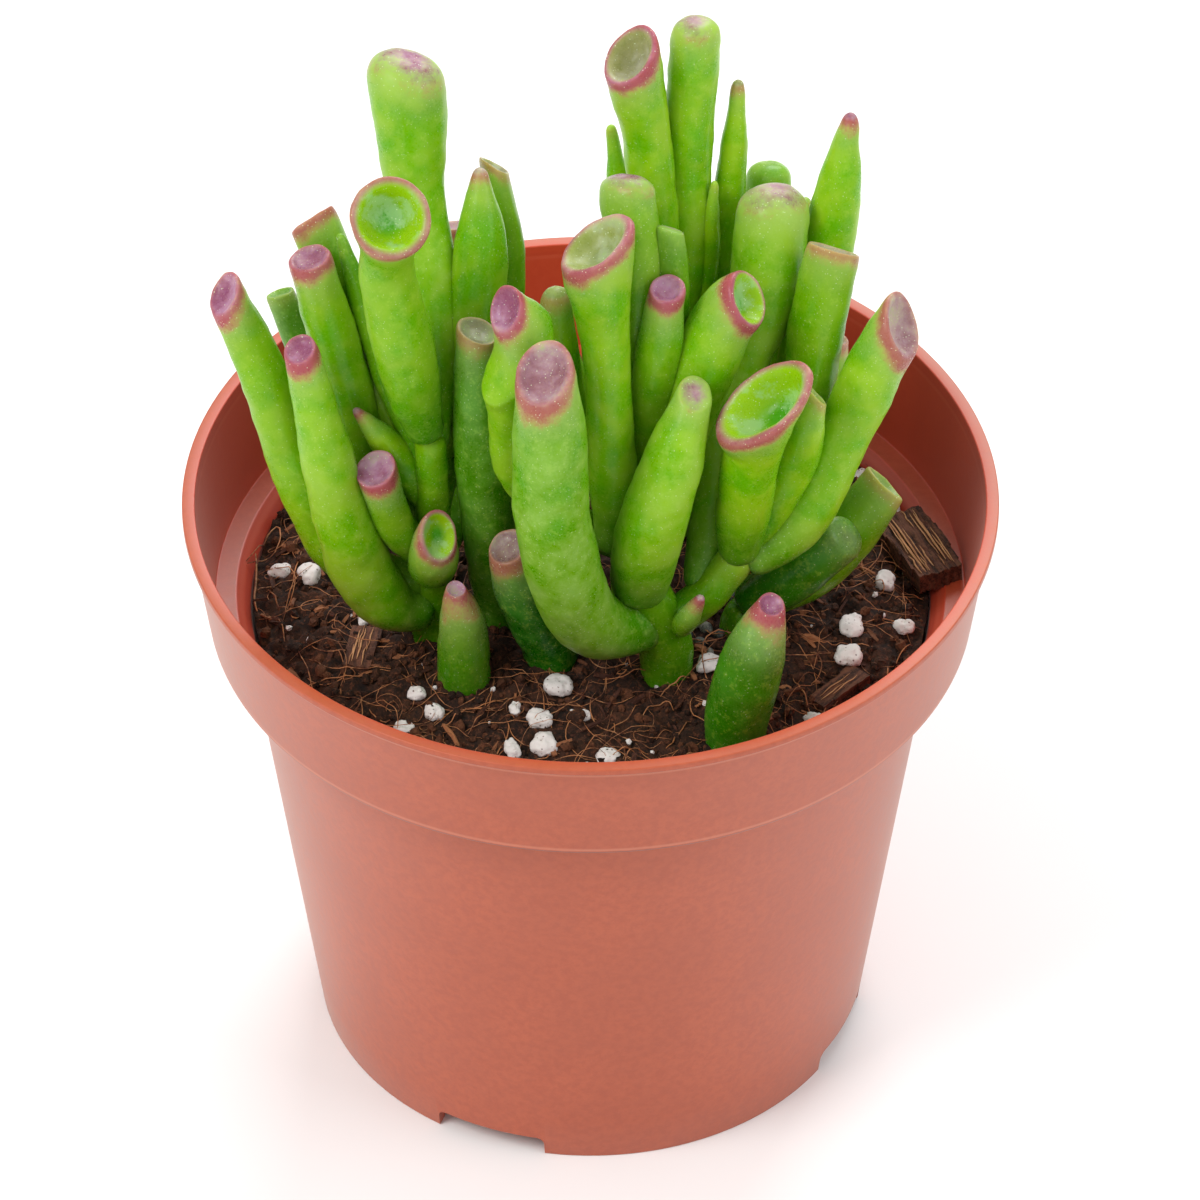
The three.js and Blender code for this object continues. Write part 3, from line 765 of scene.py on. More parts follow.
def crumbFinish():
    clod = Finish('coir_crumbs')
    shade = clod.painted('shade')
    fine = clod.noise(0.5 * mm, detail=4, roughness=0.75)
    colour = clod.blend(clod.step(shade, 0.2, 1), paint(36, 20, 11), paint(94, 55, 33))
    colour = clod.blend(clod.step(fine, 0.5, 0.7) * 0.6, colour, paint(132, 80, 54))
    colour = clod.blend(clod.step(fine, 0.48, 0.3) * 0.7, colour, paint(18, 10, 8))
    clod.set(Base_Color=colour, Roughness=0.85, Specular_IOR_Level=0.3,
             Normal=clod.bump(fine, 0.35 * mm, 0.9))
    return clod.material


def sliverFinish():
    chip = Finish('bark_slivers')
    shade = chip.painted('shade')
    streak = chip.noise(0.6 * mm, detail=3, roughness=0.7)
    colour = chip.blend(chip.step(shade, 0.35, 1), paint(62, 33, 22), paint(158, 102, 66))
    colour = chip.blend(chip.step(streak, 0.45, 0.7) * 0.5, colour, paint(120, 70, 44))
    chip.set(Base_Color=colour, Roughness=0.75, Specular_IOR_Level=0.3,
             Normal=chip.bump(streak, 0.2 * mm, 0.8))
    return chip.material


def stoneFinish():
    stone = Finish('grey_grit')
    tone = stone.noise(1.6 * mm, detail=4, roughness=0.7)
    colour = stone.blend(stone.step(tone, 0.4, 0.62), paint(38, 48, 50), paint(126, 124, 112))
    stone.set(Base_Color=colour, Roughness=0.6, Normal=stone.bump(tone, 0.3 * mm, 0.7))
    return stone.material


def pebblePlace(pebbles):
    x, y, size = next(pebbles)
    place = Vector((x * mm, y * mm, groundAt(x * mm, y * mm) + 0.4 * size * mm))
    return place, anyTurn(), (size * mm, 0.8 * size * mm, 0.7 * size * mm)


# leaves: places in millimetres, girth is the radius at even steps from base to tip

stems = {
    'left': {'path': [(-23, -11, 84), (-23, -12.5, 100), (-23, -12, 118)],
        'girth': [3.6, 3.5, 2.8, 2.6, 2.4]},
    'front': {'path': [(11, -20, 84), (9, -20.5, 92), (5, -17.5, 101)],
        'girth': [3.9, 4, 4.2, 3.8, 2.6]},
    'middle': {'path': [(6, -8, 84), (6, -8, 96), (9, -8, 112)],
        'girth': [3, 3, 3, 2.8, 2.4]},
    'back': {'path': [(12, 10, 84), (11.5, 9.5, 104), (11.5, 10, 117)],
        'girth': [3.4, 3.3, 3, 2.8, 2.4]},
    'right': {'path': [(25, 4, 84), (26, 3, 94), (27, 2, 104)],
        'girth': [3.2, 3.2, 3, 2.8, 2.4]},
    'low': {'path': [(22, -11, 80), (22, -11, 82), (23, -11, 84)],
        'girth': [3.4, 3.4, 3.4, 3.2, 2.8]},
}
leaves = {
    'left': [
        {'path': [(-23, -11, 88), (-35, -11, 92), (-42, -10, 107), (-47, -7, 124), (-52.5, -4, 137)],
         'girth': [2.6, 3.9, 4, 3.9, 3.7, 3], 'face': (-2, -1, 2), 'bowl': 0.5,
         'tone': 0.25, 'blush': 0.9, 'bloom': 0.25},
        {'path': [(-23, -12, 84.2), (-28, -14, 85.4), (-32.5, -15.5, 92.5), (-36, -16.5, 106),
                  (-39, -16, 123), (-41.5, -14, 135)],
         'girth': [3.2, 4.6, 4.8, 4.5, 4.1, 3.4, 2.5], 'face': (-1, -1, 3), 'bowl': 0.4,
         'tone': 0.15, 'blush': 0.9, 'bloom': 0.6},
        {'path': [(-23, -12, 98), (-31, -8, 107), (-36, -5, 125), (-40.3, -2, 142)],
         'girth': [2.2, 3.2, 3.6, 3.8, 3.3], 'face': (-1, 0, 4), 'bowl': 0.6,
         'tone': 0.2, 'blush': 0.8, 'bloom': 0.3},
        {'path': [(-23, -12, 103), (-31, -3, 118), (-36, 3, 132), (-40, 6, 142.5)],
         'girth': [2.2, 2.9, 3.4, 3.9, 4.1], 'face': (-1, 1, 1), 'bowl': 0.6, 'pinch': 0.6,
         'tone': 0.3, 'blush': 0.7, 'bloom': 0.3},
        {'path': [(-23, -11, 95), (-38, 2, 112), (-45, 7, 128)],
         'girth': [1.8, 2.4, 2.8, 2.9, 2.2], 'face': (-1, 1, 3), 'bowl': 0.4,
         'tone': 0.6, 'blush': 0.1, 'bloom': 0.8},
        {'path': [(-23.5, -12, 117), (-25.3, -13, 126), (-27, -13, 136), (-29, -12, 148.5),
                  (-28.7, -13.5, 156), (-28.2, -17, 161.8)],
         'girth': [3, 4.1, 4.8, 4.4, 4.2, 6.2], 'face': (1, -6, 6), 'bowl': 3.4,
         'tone': 0.3, 'blush': 0.7, 'bloom': 0.3, 'lilac': 0},
        {'path': [(-23, -12, 114), (-22.5, 0, 132), (-25, 8, 144.5), (-25.8, 12, 154.5),
                  (-26.5, 14.5, 162)],
         'girth': [2.6, 3.8, 4.1, 4.1, 4.3, 5.3, 6], 'face': (1, 1, 4), 'bowl': -3.6,
         'tone': 0.15, 'blush': 0.85, 'bloom': 0.6},
        {'path': [(-24, -11, 107), (-21.5, -6, 114), (-17.5, -2, 128), (-15.7, 4, 141), (-16, 8, 150)],
         'girth': [2.2, 3.6, 4.2, 4.3, 3.9, 1.3], 'tip': True,
         'tone': 0.25, 'blush': 0.6, 'bloom': 0.3},
        {'path': [(-23, -12, 100), (-20.5, -4, 107), (-14.5, 3, 120), (-12, 10, 133), (-14, 16, 144.5)],
         'girth': [2.2, 2.8, 3.1, 3.2, 3.6], 'face': (2, 2, 3), 'bowl': 0.5, 'pinch': 0.6,
         'tone': 0.4, 'blush': 0.4, 'bloom': 0.2},
        {'path': [(-23, -12, 109), (-31, -3, 128), (-36, 2, 143)],
         'girth': [1.8, 2.4, 2.6, 2.1, 0.8], 'tip': True,
         'tone': 0.5, 'blush': 0, 'bloom': 0.1},
        {'path': [(-23, -12, 103), (-28.5, -11, 113), (-33.8, -12, 122)],
         'girth': [1.8, 2.6, 2.8, 2, 0.8], 'tip': True,
         'tone': 0, 'blush': 0.8, 'bloom': 0.1},
        {'path': [(-23, -12, 93), (-28, -16, 103), (-31, -17, 115)],
         'girth': [2.2, 2.7, 2.9, 3, 3.4], 'face': (-1, -1, 3), 'bowl': 0.6,
         'tone': 0.4, 'blush': 1, 'bloom': 0.2},
        {'path': [(-23, -12, 91), (-23, -17, 98), (-22, -19, 104)],
         'girth': [2.8, 3.6, 3.9, 3.1], 'face': (1, -2, 1), 'bowl': 0.7,
         'tone': 0.35, 'blush': 0.7, 'bloom': 0.2, 'lilac': 0},
        {'path': [(-22, -10, 93), (-21.5, -8, 100), (-21, -7.5, 108)],
         'girth': [1, 1.4, 1.2, 0.6], 'tip': True,
         'tone': 0, 'blush': 0.3, 'bloom': 0},
        {'path': [(-23, -11, 97), (-26, 4, 106), (-30, 14, 124)],
         'girth': [2.2, 3.4, 3.8, 3.8, 3], 'face': (0, 1, 3), 'bowl': 0.8,
         'tone': 0.3, 'blush': 0.7, 'bloom': 0.3},
        {'path': [(-22, -11, 94), (-16, 4, 100), (-14, 12, 112)],
         'girth': [2.2, 3.2, 3.6, 3.2, 2], 'tip': True,
         'tone': 0.35, 'blush': 0.5, 'bloom': 0.2},
        {'path': [(-22, -11, 108), (-22, 10, 118), (-20, 20, 130)],
         'girth': [2.2, 3.4, 3.8, 4, 3.4], 'face': (0, 1, 2), 'bowl': 1,
         'tone': 0.25, 'blush': 0.7, 'bloom': 0.4},
        {'path': [(-24, -10, 92), (-34, 4, 100), (-40, 11, 115)],
         'girth': [2, 3.2, 3.6, 3.2, 2], 'tip': True,
         'tone': 0.4, 'blush': 0.4, 'bloom': 0.2},
    ],
    'front': [
        {'path': [(10, -20, 88), (0.5, -25.5, 92.5), (-5, -28.5, 112), (-5.8, -28, 130),
                  (-6.5, -26, 140.5)],
         'girth': [3.6, 5.2, 5.7, 5.8, 5.8, 5.6, 4.5], 'face': (-1, -2, 4), 'bowl': 0.9,
         'tone': 0.4, 'blush': 0.8, 'bloom': 1},
        {'path': [(4, -17, 100), (3, -15, 119), (2, -12, 137), (1, -10, 151)],
         'girth': [3.5, 3.7, 3.6, 4, 5.8], 'face': (-3, 0, 5), 'bowl': 2.4,
         'tone': 0.15, 'blush': 0.8, 'bloom': 0.35, 'lilac': 0.4},
        {'path': [(7, -20, 94), (8.7, -23, 109), (12.4, -21, 122), (15, -18, 130)],
         'girth': [4.2, 5.1, 5.1, 4.5, 2.8], 'face': (1, -1, 3), 'bowl': -0.5,
         'tone': 0.15, 'blush': 0.85, 'bloom': 0.6},
        {'path': [(16, -19, 93), (18, -9, 103), (20, -1, 117), (25.2, 5, 130), (26.4, 10, 141)],
         'girth': [2.8, 3.6, 4, 4.7, 5.7, 5.6], 'face': (0, 1, 3), 'bowl': -4,
         'tone': 0.15, 'blush': 0.85, 'bloom': 0.6},
        {'path': [(21.5, -18, 99), (23, -19, 117), (25, -20, 130)],
         'girth': [3, 4.1, 4.3, 4.6, 6.5], 'face': (-3, -1, 4), 'bowl': 3.8,
         'tone': 0.2, 'blush': 0.8, 'bloom': 0.15, 'lilac': 0},
        {'path': [(22, -18, 98), (29, -14, 112), (32, -13, 126)],
         'girth': [2.4, 3, 3.4, 3.7, 3.2], 'face': (2, 1, 2), 'bowl': 0.8, 'pinch': 0.6,
         'tone': 0.1, 'blush': 0.4, 'bloom': 0.1},
        {'path': [(22, -18, 98), (29.6, -15, 102.6), (36.4, -10, 115.2), (42, -6.5, 127.4),
                  (44.8, -5, 131.8)],
         'girth': [3.2, 4.3, 4.4, 4.3, 4.5, 4.4], 'face': (3, -1, 2), 'bowl': 0.9,
         'tone': 0.08, 'blush': 0.7, 'bloom': 0.5},
        {'path': [(12, -20, 87), (14, -24, 92), (16, -24.5, 97)],
         'girth': [1.4, 1.9, 1.6, 0.8], 'tip': True,
         'tone': 0, 'blush': 0.9, 'bloom': 0},
    ],
    'middle': [
        {'path': [(5, -8, 92), (-4, -13, 103), (-11, -17, 115), (-11.5, -18, 130),
                  (-9.8, -17, 139), (-12, -17.5, 145.5)],
         'girth': [2.2, 2.8, 3, 3, 3, 3.3, 4.7, 3], 'face': (-2, -2, 2), 'bowl': 0.5,
         'tone': 0.25, 'blush': 0.9, 'bloom': 0.3},
        {'path': [(8, -8, 108), (7, -4, 136), (5.3, 2, 151.5)],
         'girth': [2.6, 3.6, 4, 4.9, 4.8], 'face': (0, 1, 2), 'bowl': -2.2, 'pinch': 0.8,
         'tone': 0.35, 'blush': 0.8, 'bloom': 0.4},
        {'path': [(9, -8, 109), (11, -5, 133), (11.3, -2, 147)],
         'girth': [2.4, 3, 3.2, 3.4, 2.7], 'face': (1, 2, 3), 'bowl': -0.8, 'pinch': 0.7,
         'tone': 0.5, 'blush': 0.6, 'bloom': 0.3},
        {'path': [(6, -8, 98), (9, -10, 123), (11, -9, 142)],
         'girth': [2.4, 3.4, 3.5, 3.6, 2.7], 'face': (0, -1, 4), 'bowl': 0.7,
         'tone': 0.35, 'blush': 1, 'bloom': 0.2},
        {'path': [(8, -8, 100), (11, -10, 110), (15.5, -9, 126), (20.3, -7.5, 137), (22.5, -8, 139.5)],
         'girth': [2.6, 4.2, 4.9, 5.2, 4.6], 'face': (3, -1, 2), 'bowl': 1.8,
         'tone': 0.15, 'blush': 0.9, 'bloom': 0.4, 'lilac': 0},
        {'path': [(6, -8, 102), (-3, -7, 118), (-5, -4, 137)],
         'girth': [2, 2.6, 2.9, 2.9, 2.3], 'tip': True,
         'tone': 0.2, 'blush': 0.4, 'bloom': 0.1},
        {'path': [(6, -8, 97), (-1, 3, 106), (-6, 8, 119)],
         'girth': [2.2, 3.4, 3.8, 3.6, 2.8], 'face': (-1, 1, 3), 'bowl': 0.8,
         'tone': 0.3, 'blush': 0.5, 'bloom': 0.3},
    ],
    'back': [
        {'path': [(11, 9, 112), (9.3, 12, 140), (7.6, 16, 155), (5.8, 17, 164)],
         'girth': [2.6, 3.6, 3.6, 3.7, 4.6], 'face': (-2, -1, 3), 'bowl': 2.4,
         'tone': 0.12, 'blush': 0.9, 'bloom': 0.3, 'lilac': 0.5},
        {'path': [(12, 10, 112), (14, 12, 128), (14, 17, 144), (15.2, 22, 164)],
         'girth': [2.6, 3.6, 3.8, 3.8, 3.9, 3.8], 'face': (0, 1, 5), 'bowl': -2.6,
         'tone': 0.1, 'blush': 0.7, 'bloom': 0.35},
        {'path': [(11, 10, 108), (5, 18, 133), (3, 22, 147)],
         'girth': [1.8, 2.4, 2.4, 2, 0.8], 'tip': True,
         'tone': 0.05, 'blush': 0.2, 'bloom': 0.1},
        {'path': [(12, 10, 106), (18, 14, 124), (20.4, 18, 140), (21.4, 22, 155)],
         'girth': [1.8, 2.4, 2.5, 2.4, 0.9], 'tip': True,
         'tone': 0.1, 'blush': 0.5, 'bloom': 0.2},
        {'path': [(13, 10, 104), (21, 16, 118), (25, 20, 129), (26, 23, 137)],
         'girth': [2.2, 3.4, 3.9, 4, 3.4], 'face': (0, 1, 3), 'bowl': -2,
         'tone': 0.15, 'blush': 0.15, 'bloom': 0.4},
        {'path': [(12, 9, 106), (16, 10, 122), (17, 12, 132), (18, 14, 143)],
         'girth': [1.6, 1.9, 2, 1.7, 0.6], 'tip': True,
         'tone': 0.05, 'blush': 0.2, 'bloom': 0.1},
        {'path': [(12, 10, 98), (4, 22, 106), (2, 28, 118)],
         'girth': [2.2, 3.4, 3.8, 3.8, 3], 'face': (0, 1, 3), 'bowl': 0.8,
         'tone': 0.2, 'blush': 0.6, 'bloom': 0.3},
        {'path': [(12, 11, 100), (12, 24, 110), (12, 32, 122)],
         'girth': [2.2, 3.4, 3.9, 4.2, 4.4], 'face': (0, 1, 1), 'bowl': 1.6,
         'tone': 0.15, 'blush': 0.7, 'bloom': 0.3},
        {'path': [(13, 11, 95), (20, 22, 103), (23, 28, 115)],
         'girth': [2.2, 3.4, 3.8, 3.4, 1.8], 'tip': True,
         'tone': 0.3, 'blush': 0.4, 'bloom': 0.2},
        {'path': [(11, 10, 91), (0, 15, 97), (-4, 20, 105)],
         'girth': [2.2, 3.4, 3.8, 3.6, 2.8], 'face': (-1, 1, 3), 'bowl': 0.7,
         'tone': 0.3, 'blush': 0.6, 'bloom': 0.3},
    ],
    'right': [
        {'path': [(27, 2, 100), (33.5, 10, 128), (37.6, 17, 153)],
         'girth': [2.4, 3.4, 3.9, 4, 3.5, 1.3], 'tip': True,
         'tone': 0.1, 'blush': 0.7, 'bloom': 0.3},
        {'path': [(27, 2, 98), (31, -3, 113), (32.6, -1, 128), (35, 1, 141)],
         'girth': [2.4, 3.4, 4, 4.4, 4.2], 'face': (1, 2, 3), 'bowl': 0.9, 'pinch': 0.7,
         'tone': 0.35, 'blush': 0.6, 'bloom': 0.2},
        {'path': [(27, 3, 98), (30, 16, 122), (31.4, 21, 134)],
         'girth': [2, 2.6, 2.8, 2.4, 1], 'tip': True,
         'tone': 0.1, 'blush': 0.3, 'bloom': 0.1},
        {'path': [(26, 4, 94), (33, 11, 103), (35, 14, 114)],
         'girth': [2.2, 3.4, 3.8, 3.8, 3.2], 'face': (1, 1, 3), 'bowl': 0.9,
         'tone': 0.3, 'blush': 0.5, 'bloom': 0.3},
        {'path': [(26, 5, 92), (30, 17, 100), (33, 23, 111)],
         'girth': [2.2, 3.2, 3.6, 3.2, 1.8], 'tip': True,
         'tone': 0.3, 'blush': 0.4, 'bloom': 0.2},
    ],
    'low': [
        {'path': [(22, -11, 84), (33, -7, 87.5), (43, -3, 100)],
         'girth': [3, 4.3, 4.4, 4.4, 4], 'face': (2, 1, 2), 'bowl': 0.6, 'pinch': 0.7,
         'tone': 0.45, 'blush': 0.3, 'bloom': 0.3},
        {'path': [(22, -11, 83), (28, -11, 88), (37, -10, 96)],
         'girth': [3, 4, 4.2, 3.8], 'face': (2, -1, 2), 'bowl': -1, 'pinch': 0.8,
         'tone': 0.8, 'blush': 0.25, 'bloom': 0.2},
    ],
}
soilLeaves = {
    'slim':
        {'path': [(-13.5, -9, 82), (-14.5, -10.5, 96), (-16, -11.5, 116), (-16.2, -10, 135)],
         'girth': [3.7, 4.1, 4.2, 4.2, 3.9, 3.2], 'face': (1, 0, 3), 'bowl': 0.5,
         'tone': 0.65, 'blush': 0.4, 'bloom': 0.5},
    'dark':
        {'path': [(-5.8, -16.8, 82), (-9.3, -18.4, 92), (-12, -19.2, 102)],
         'girth': [4.6, 4.7, 4.4, 3.2], 'face': (-1, -1, 3), 'bowl': 0.5,
         'tone': 0.95, 'blush': 0.5, 'bloom': 0.4},
    'cone':
        {'path': [(-18.5, -22, 82), (-18.5, -22, 89), (-19.5, -21.5, 96)],
         'girth': [4.2, 4, 3.3, 1.6], 'face': (0, -1, 4), 'bowl': 0.3,
         'tone': 0.5, 'blush': 0.9, 'bloom': 0.2},
    'stout':
        {'path': [(21, -34, 82), (23, -34.5, 92), (26, -33, 103)],
         'girth': [5, 5.1, 4.9, 4.2, 2.1], 'face': (1, -1, 4), 'bowl': 0.4,
         'tone': 0.75, 'blush': 0.9, 'bloom': 0.2},
}

branch = {'path': [(10, -20.5, 88), (16, -19.5, 92), (22, -18, 100)], 'girth': [3, 3.2, 2.9, 2.8],
          'tip': True, 'tone': 0.3, 'blush': 0, 'bloom': 0.1}

growth = {
    'sides': 12,
    'ring': 3.2 * mm,
    'mouthStart': 0.62,
    'steepest': 0.4,
    'cup': [(0.93, -0.09, 0), (0.8, -0.08, 0), (0.68, 0, 0.12),
            (0.58, 0, 0.5), (0.42, 0, 0.84), (0.22, 0, 1)],
    'dome': [(0.87, 0, 0.5), (0.6, 0, 0.85), (0.3, 0, 0.97)],
    'stemFloor': 67,
    'soil': 79,
    'redReach': 20 * mm,
    # how far up from the base the painted shade reaches
    'darkFoot': 15 * mm,
    'crown': 2.6 * mm,  # how far round a dome the red begins
    'swell': 0.7 * mm,
    'dents': 0.12 * mm,
}


def keyed(keys, t):  # smooth value through evenly spaced keys
    last = len(keys) - 1
    i = min(int(t * last), last - 1)
    s = t * last - i
    before, start, end, after = keys[max(i - 1, 0)], keys[i], keys[i + 1], keys[min(i + 2, last)]
    slope = end - before
    bend = 2 * before - 5 * start + 4 * end - after
    twist = 3 * start - before - 3 * end + after
    return 0.5 * (2 * start + slope * s + bend * s * s + twist * s ** 3)


def curvePoints(points, steps):  # even steps along a rounded line through the points
    points = [Vector(point) * mm for point in points]
    ends = [2 * points[0] - points[1], *points, 2 * points[-1] - points[-2]]
    dense = [points[0]]
    for before, start, end, after in zip(ends, ends[1:], ends[2:], ends[3:]):
        spans = [max((b - a).length ** 0.5, 1e-6) for a, b in ((before, start), (start, end), (end, after))]
        first, middle, last = spans
        leave = (start - before) / first - (end - before) / (first + middle) + (end - start) / middle
        arrive = (end - start) / middle - (after - start) / (middle + last) + (after - end) / last
        leave, arrive = leave * middle, arrive * middle
        for k in range(1, 25):
            t = k / 24
            dense.append((2 * t ** 3 - 3 * t ** 2 + 1) * start + (t ** 3 - 2 * t ** 2 + t) * leave
                         + (3 * t ** 2 - 2 * t ** 3) * end + (t ** 3 - t ** 2) * arrive)
    lengths = [0]
    for a, b in zip(dense, dense[1:]):
        lengths.append(lengths[-1] + (b - a).length)
    if callable(steps):
        steps = steps(lengths[-1])
    places, headings, i = [], [], 0
    for k in range(steps + 1):
        goal = lengths[-1] * k / steps
        while i < len(dense) - 2 and lengths[i + 1] < goal:
            i += 1
        part = (goal - lengths[i]) / (lengths[i + 1] - lengths[i])
        places.append(dense[i].lerp(dense[i + 1], part))
        headings.append((dense[i + 1] - dense[i]).normalized())
    return places, headings, lengths[-1]


def growTube(places, headings, radii, sides):  # a closed tube, drawn out ring by ring
    deselectAll()
    bpy.ops.mesh.primitive_circle_add(vertices=sides, radius=radii[0], fill_type='NGON', location=places[0],
                                      rotation=headings[0].to_track_quat('Z', 'Y').to_euler())
    tube = bpy.context.object
    settle(tube)
    editMode()
    selectWhole()
    for k in range(1, len(places)):
        pushOut(places[k] - places[k - 1])
        bend = headings[k - 1].rotation_difference(headings[k])
        turn(bend.axis, bend.angle, places[k])
        resize(radii[k] / radii[k - 1], places[k])
    return tube


def ringVerts(tube, ring, sides):
    vertsWhere(tube, lambda vert: ring * sides <= vert.index < (ring + 1) * sides)


def growLeaf(leaf):
    sides = growth['sides']
    places, headings, length = curvePoints(leaf['path'], lambda size: max(6, round(size / growth['ring'])))
    steps = len(places) - 1
    radii = [keyed(leaf['girth'], k / steps) * mm for k in range(steps + 1)]
    roots = leaf.get('roots', 0)
    for k in range(roots):
        places.insert(0, places[0] - Vector((0, 0, growth['ring'])))
        headings.insert(0, headings[0])
        radii.insert(0, radii[0] * (0.94 if k == 0 else 1))
    steps += roots
    tube = growTube(places, headings, radii, sides)
    top, heading, mouth = places[-1], headings[-1], radii[-1]
    if leaf.get('tip'):
        bpy.ops.mesh.poke()
        mesh = bmesh.from_edit_mesh(tube.data)
        mesh.verts.ensure_lookup_table()
        mesh.verts[-1].co = top + heading * mouth * 0.7
        bmesh.update_edit_mesh(tube.data)
        caps = 0
    else:
        bowl = leaf['bowl'] * mm
        shape = growth['cup'] if bowl > 0 else growth['dome']
        width, height = 1, 0
        for nextWidth, lift, sink in shape:
            nextHeight = -lift * mouth - sink * bowl
            pushOut(heading * (nextHeight - height))
            resize(nextWidth / width, top + heading * nextHeight)
            width, height = nextWidth, nextHeight
        bpy.ops.mesh.poke()
        caps = len(shape)
        face = Vector(leaf['face']).normalized()
        pinch = leaf.get('pinch', 1)
        for ring in range(steps + caps + 1):
            t = min((ring - roots) / (steps - roots), 1)
            opened = smoothStep(t, growth['mouthStart'], 1)
            if opened:
                ringVerts(tube, ring, sides)
                if ring == steps + caps:
                    mesh = bmesh.from_edit_mesh(tube.data)
                    mesh.verts.ensure_lookup_table()
                    mesh.verts[-1].select_set(True)
                slantRing(places[min(ring, steps)], headings[min(ring, steps)], face, opened, pinch)
    objectMode()
    markGrowth(tube, steps, steps + caps, length, leaf)
    return tube


def slantRing(centre, heading, face, opened, pinch):
    lean = face - heading * face.dot(heading)
    if lean.length < 0.05:
        return
    slope = math.atan(opened * lean.length / max(face.dot(heading), growth['steepest']))
    hinge = heading.cross(lean).normalized()
    turn(hinge, slope, centre)
    steep = Matrix.Rotation(slope, 3, hinge) @ lean.normalized()
    squeeze = (1 + (pinch - 1) * opened) / math.cos(slope)
    stretch((squeeze, 1, 1), (steep, hinge, steep.cross(hinge)), centre)


def markGrowth(tube, steps, rings, length, looks):
    marks = tube.data
    marks.attributes.new('growth', 'FLOAT_COLOR', 'POINT')  # from the tip, into the cup, tone, blush
    marks.attributes.new('looks', 'FLOAT_COLOR', 'POINT')  # bloom, painted shade at the base, lilac cap, chance
    growthMark = marks.attributes['growth'].data
    looksMark = marks.attributes['looks'].data
    lot = chance.random()
    last = len(marks.vertices) - 1
    for vert in marks.vertices:
        ring = rings + 1 if vert.index == last else min(vert.index // growth['sides'], rings)
        cup = max(ring - steps, 0) / (rings + 1 - steps)
        crown = growth['crown'] * (1 - cup) if looks.get('bowl', 1) < 0 else 0
        fromTip = min((length * max(1 - ring / steps, 0) + crown) / growth['redReach'], 1)
        baseShade = max(1 - length * ring / steps / growth['darkFoot'], 0)
        growthMark[vert.index].color = (fromTip, cup, looks['tone'], looks['blush'])
        looksMark[vert.index].color = (looks['bloom'], baseShade, looks.get('lilac', 1), lot)


def growStem(path, girth, floor, looks):
    x, y = path[0][:2]
    points = [(x, y, floor), (x, y, growth['soil']), *path]
    places, headings, length = curvePoints(points, lambda size: max(5, round(size / growth['ring'])))
    steps = len(places) - 1
    radii = [keyed(girth, k / steps) * mm for k in range(steps + 1)]
    tube = growTube(places, headings, radii, growth['sides'])
    objectMode()
    markGrowth(tube, 4 * steps, steps, length, looks)
    return tube


def finishFoliage(pieces, name):
    foliage = joinAll(pieces, name)
    addModifier(foliage, 'SUBSURF', levels=2, render_levels=2)
    displace(foliage, leafSwell, growth['swell'], mid_level=0.5)
    displace(foliage, leafDents, growth['dents'], mid_level=0.5)
    makeActive(foliage)
    bpy.ops.object.shade_smooth()
    return foliage


def leafFinish():
    skin = Finish('leaf_skin')
    fromTip, cup, tone, blush = skin.channels('growth')
    bloom, baseShade, lilac, lot = skin.channels('looks')
    patch = skin.noise(6 * mm, detail=2, roughness=0.6)
    blotch = skin.noise(1.3 * mm, detail=3, roughness=0.65)
    fine = skin.noise(0.35 * mm, detail=1)
    grain = blotch + (fine - 0.5) * 0.5
    young = skin.blend(skin.step(patch, 0.25, 0.75), paint(96, 168, 0), paint(152, 194, 0))
    old = skin.blend(skin.step(patch, 0.3, 0.7), paint(6, 84, 0), paint(34, 120, 0))
    green = skin.blend(skin.step(tone + (patch - 0.5) * 0.4, 0, 1), young, old)
    # painted shade: darker green towards the leaf base, near the soil
    green = skin.blend(baseShade * 0.8, green, paint(34, 116, 0))
    green = skin.blend(skin.step(grain, 0.5, 0.75) * 0.22, green, paint(176, 206, 60))
    frost = skin.step(grain * 0.6 + patch, 0.6, 1.1) * bloom
    green = skin.blend(frost * 0.4, green, paint(150, 192, 108))
    paleTip = skin.step(fromTip + (patch - 0.5) * 0.3, 0.4, 0)
    green = skin.blend(paleTip * (0.15 + blush * 0.35), green, paint(166, 184, 112))
    inside = skin.step(cup, 0.14, 0.36)
    # painted shade: darker green deeper in the cup's hollow
    hollow = skin.blend(skin.step(cup, 0.55, 0.95), paint(142, 186, 8), paint(70, 150, 18))
    hollow = skin.blend(skin.step(patch + (grain - 0.5) * 0.3, 0.5, 0.64) * 0.6, hollow, paint(160, 200, 140))
    green = skin.blend(inside * (1 - lilac), green, hollow)
    edge = skin.step(fromTip + (grain - 0.5) * 0.1 + (patch - 0.5) * 0.2, 0.17, -0.02)
    red = skin.step(edge * (blush + lot * 0.2), 0.1, 1) * (1 - inside * (1 - lilac))
    disc = skin.blend(skin.step(patch + (blotch - 0.5) * 0.5, 0.3, 0.75),
                      paint(138, 66, 104), paint(186, 136, 168))
    blushed = skin.blend(skin.step(cup, -0.1, 0.4), paint(164, 70, 80), disc)
    flush = skin.step(edge * (blush + lot * 0.2), 0, 0.5) * (1 - inside)
    green = skin.blend(flush * 0.45, green, paint(190, 160, 96))
    colour = skin.blend(red * 0.95, green, blushed)
    specks = skin.step(skin.cells(0.5 * mm), 0.2, 0.1) * skin.step(fine, 0.44, 0.54)
    # pale specks: real dots all over, more near the rim as painted glints
    colour = skin.blend(specks * (edge * 0.4 + 0.45), colour, paint(222, 236, 200))
    skin.set(Base_Color=colour, Roughness=0.22 + fine * 0.12 + frost * 0.25,
             Normal=skin.bump(blotch, 0.12 * mm, 0.5),
             Subsurface_Weight=0.3, Subsurface_Radius=(0.9, 1.0, 0.1), Subsurface_Scale=3 * mm,
             IOR=1.4, Specular_IOR_Level=0.32)
    return skin.material


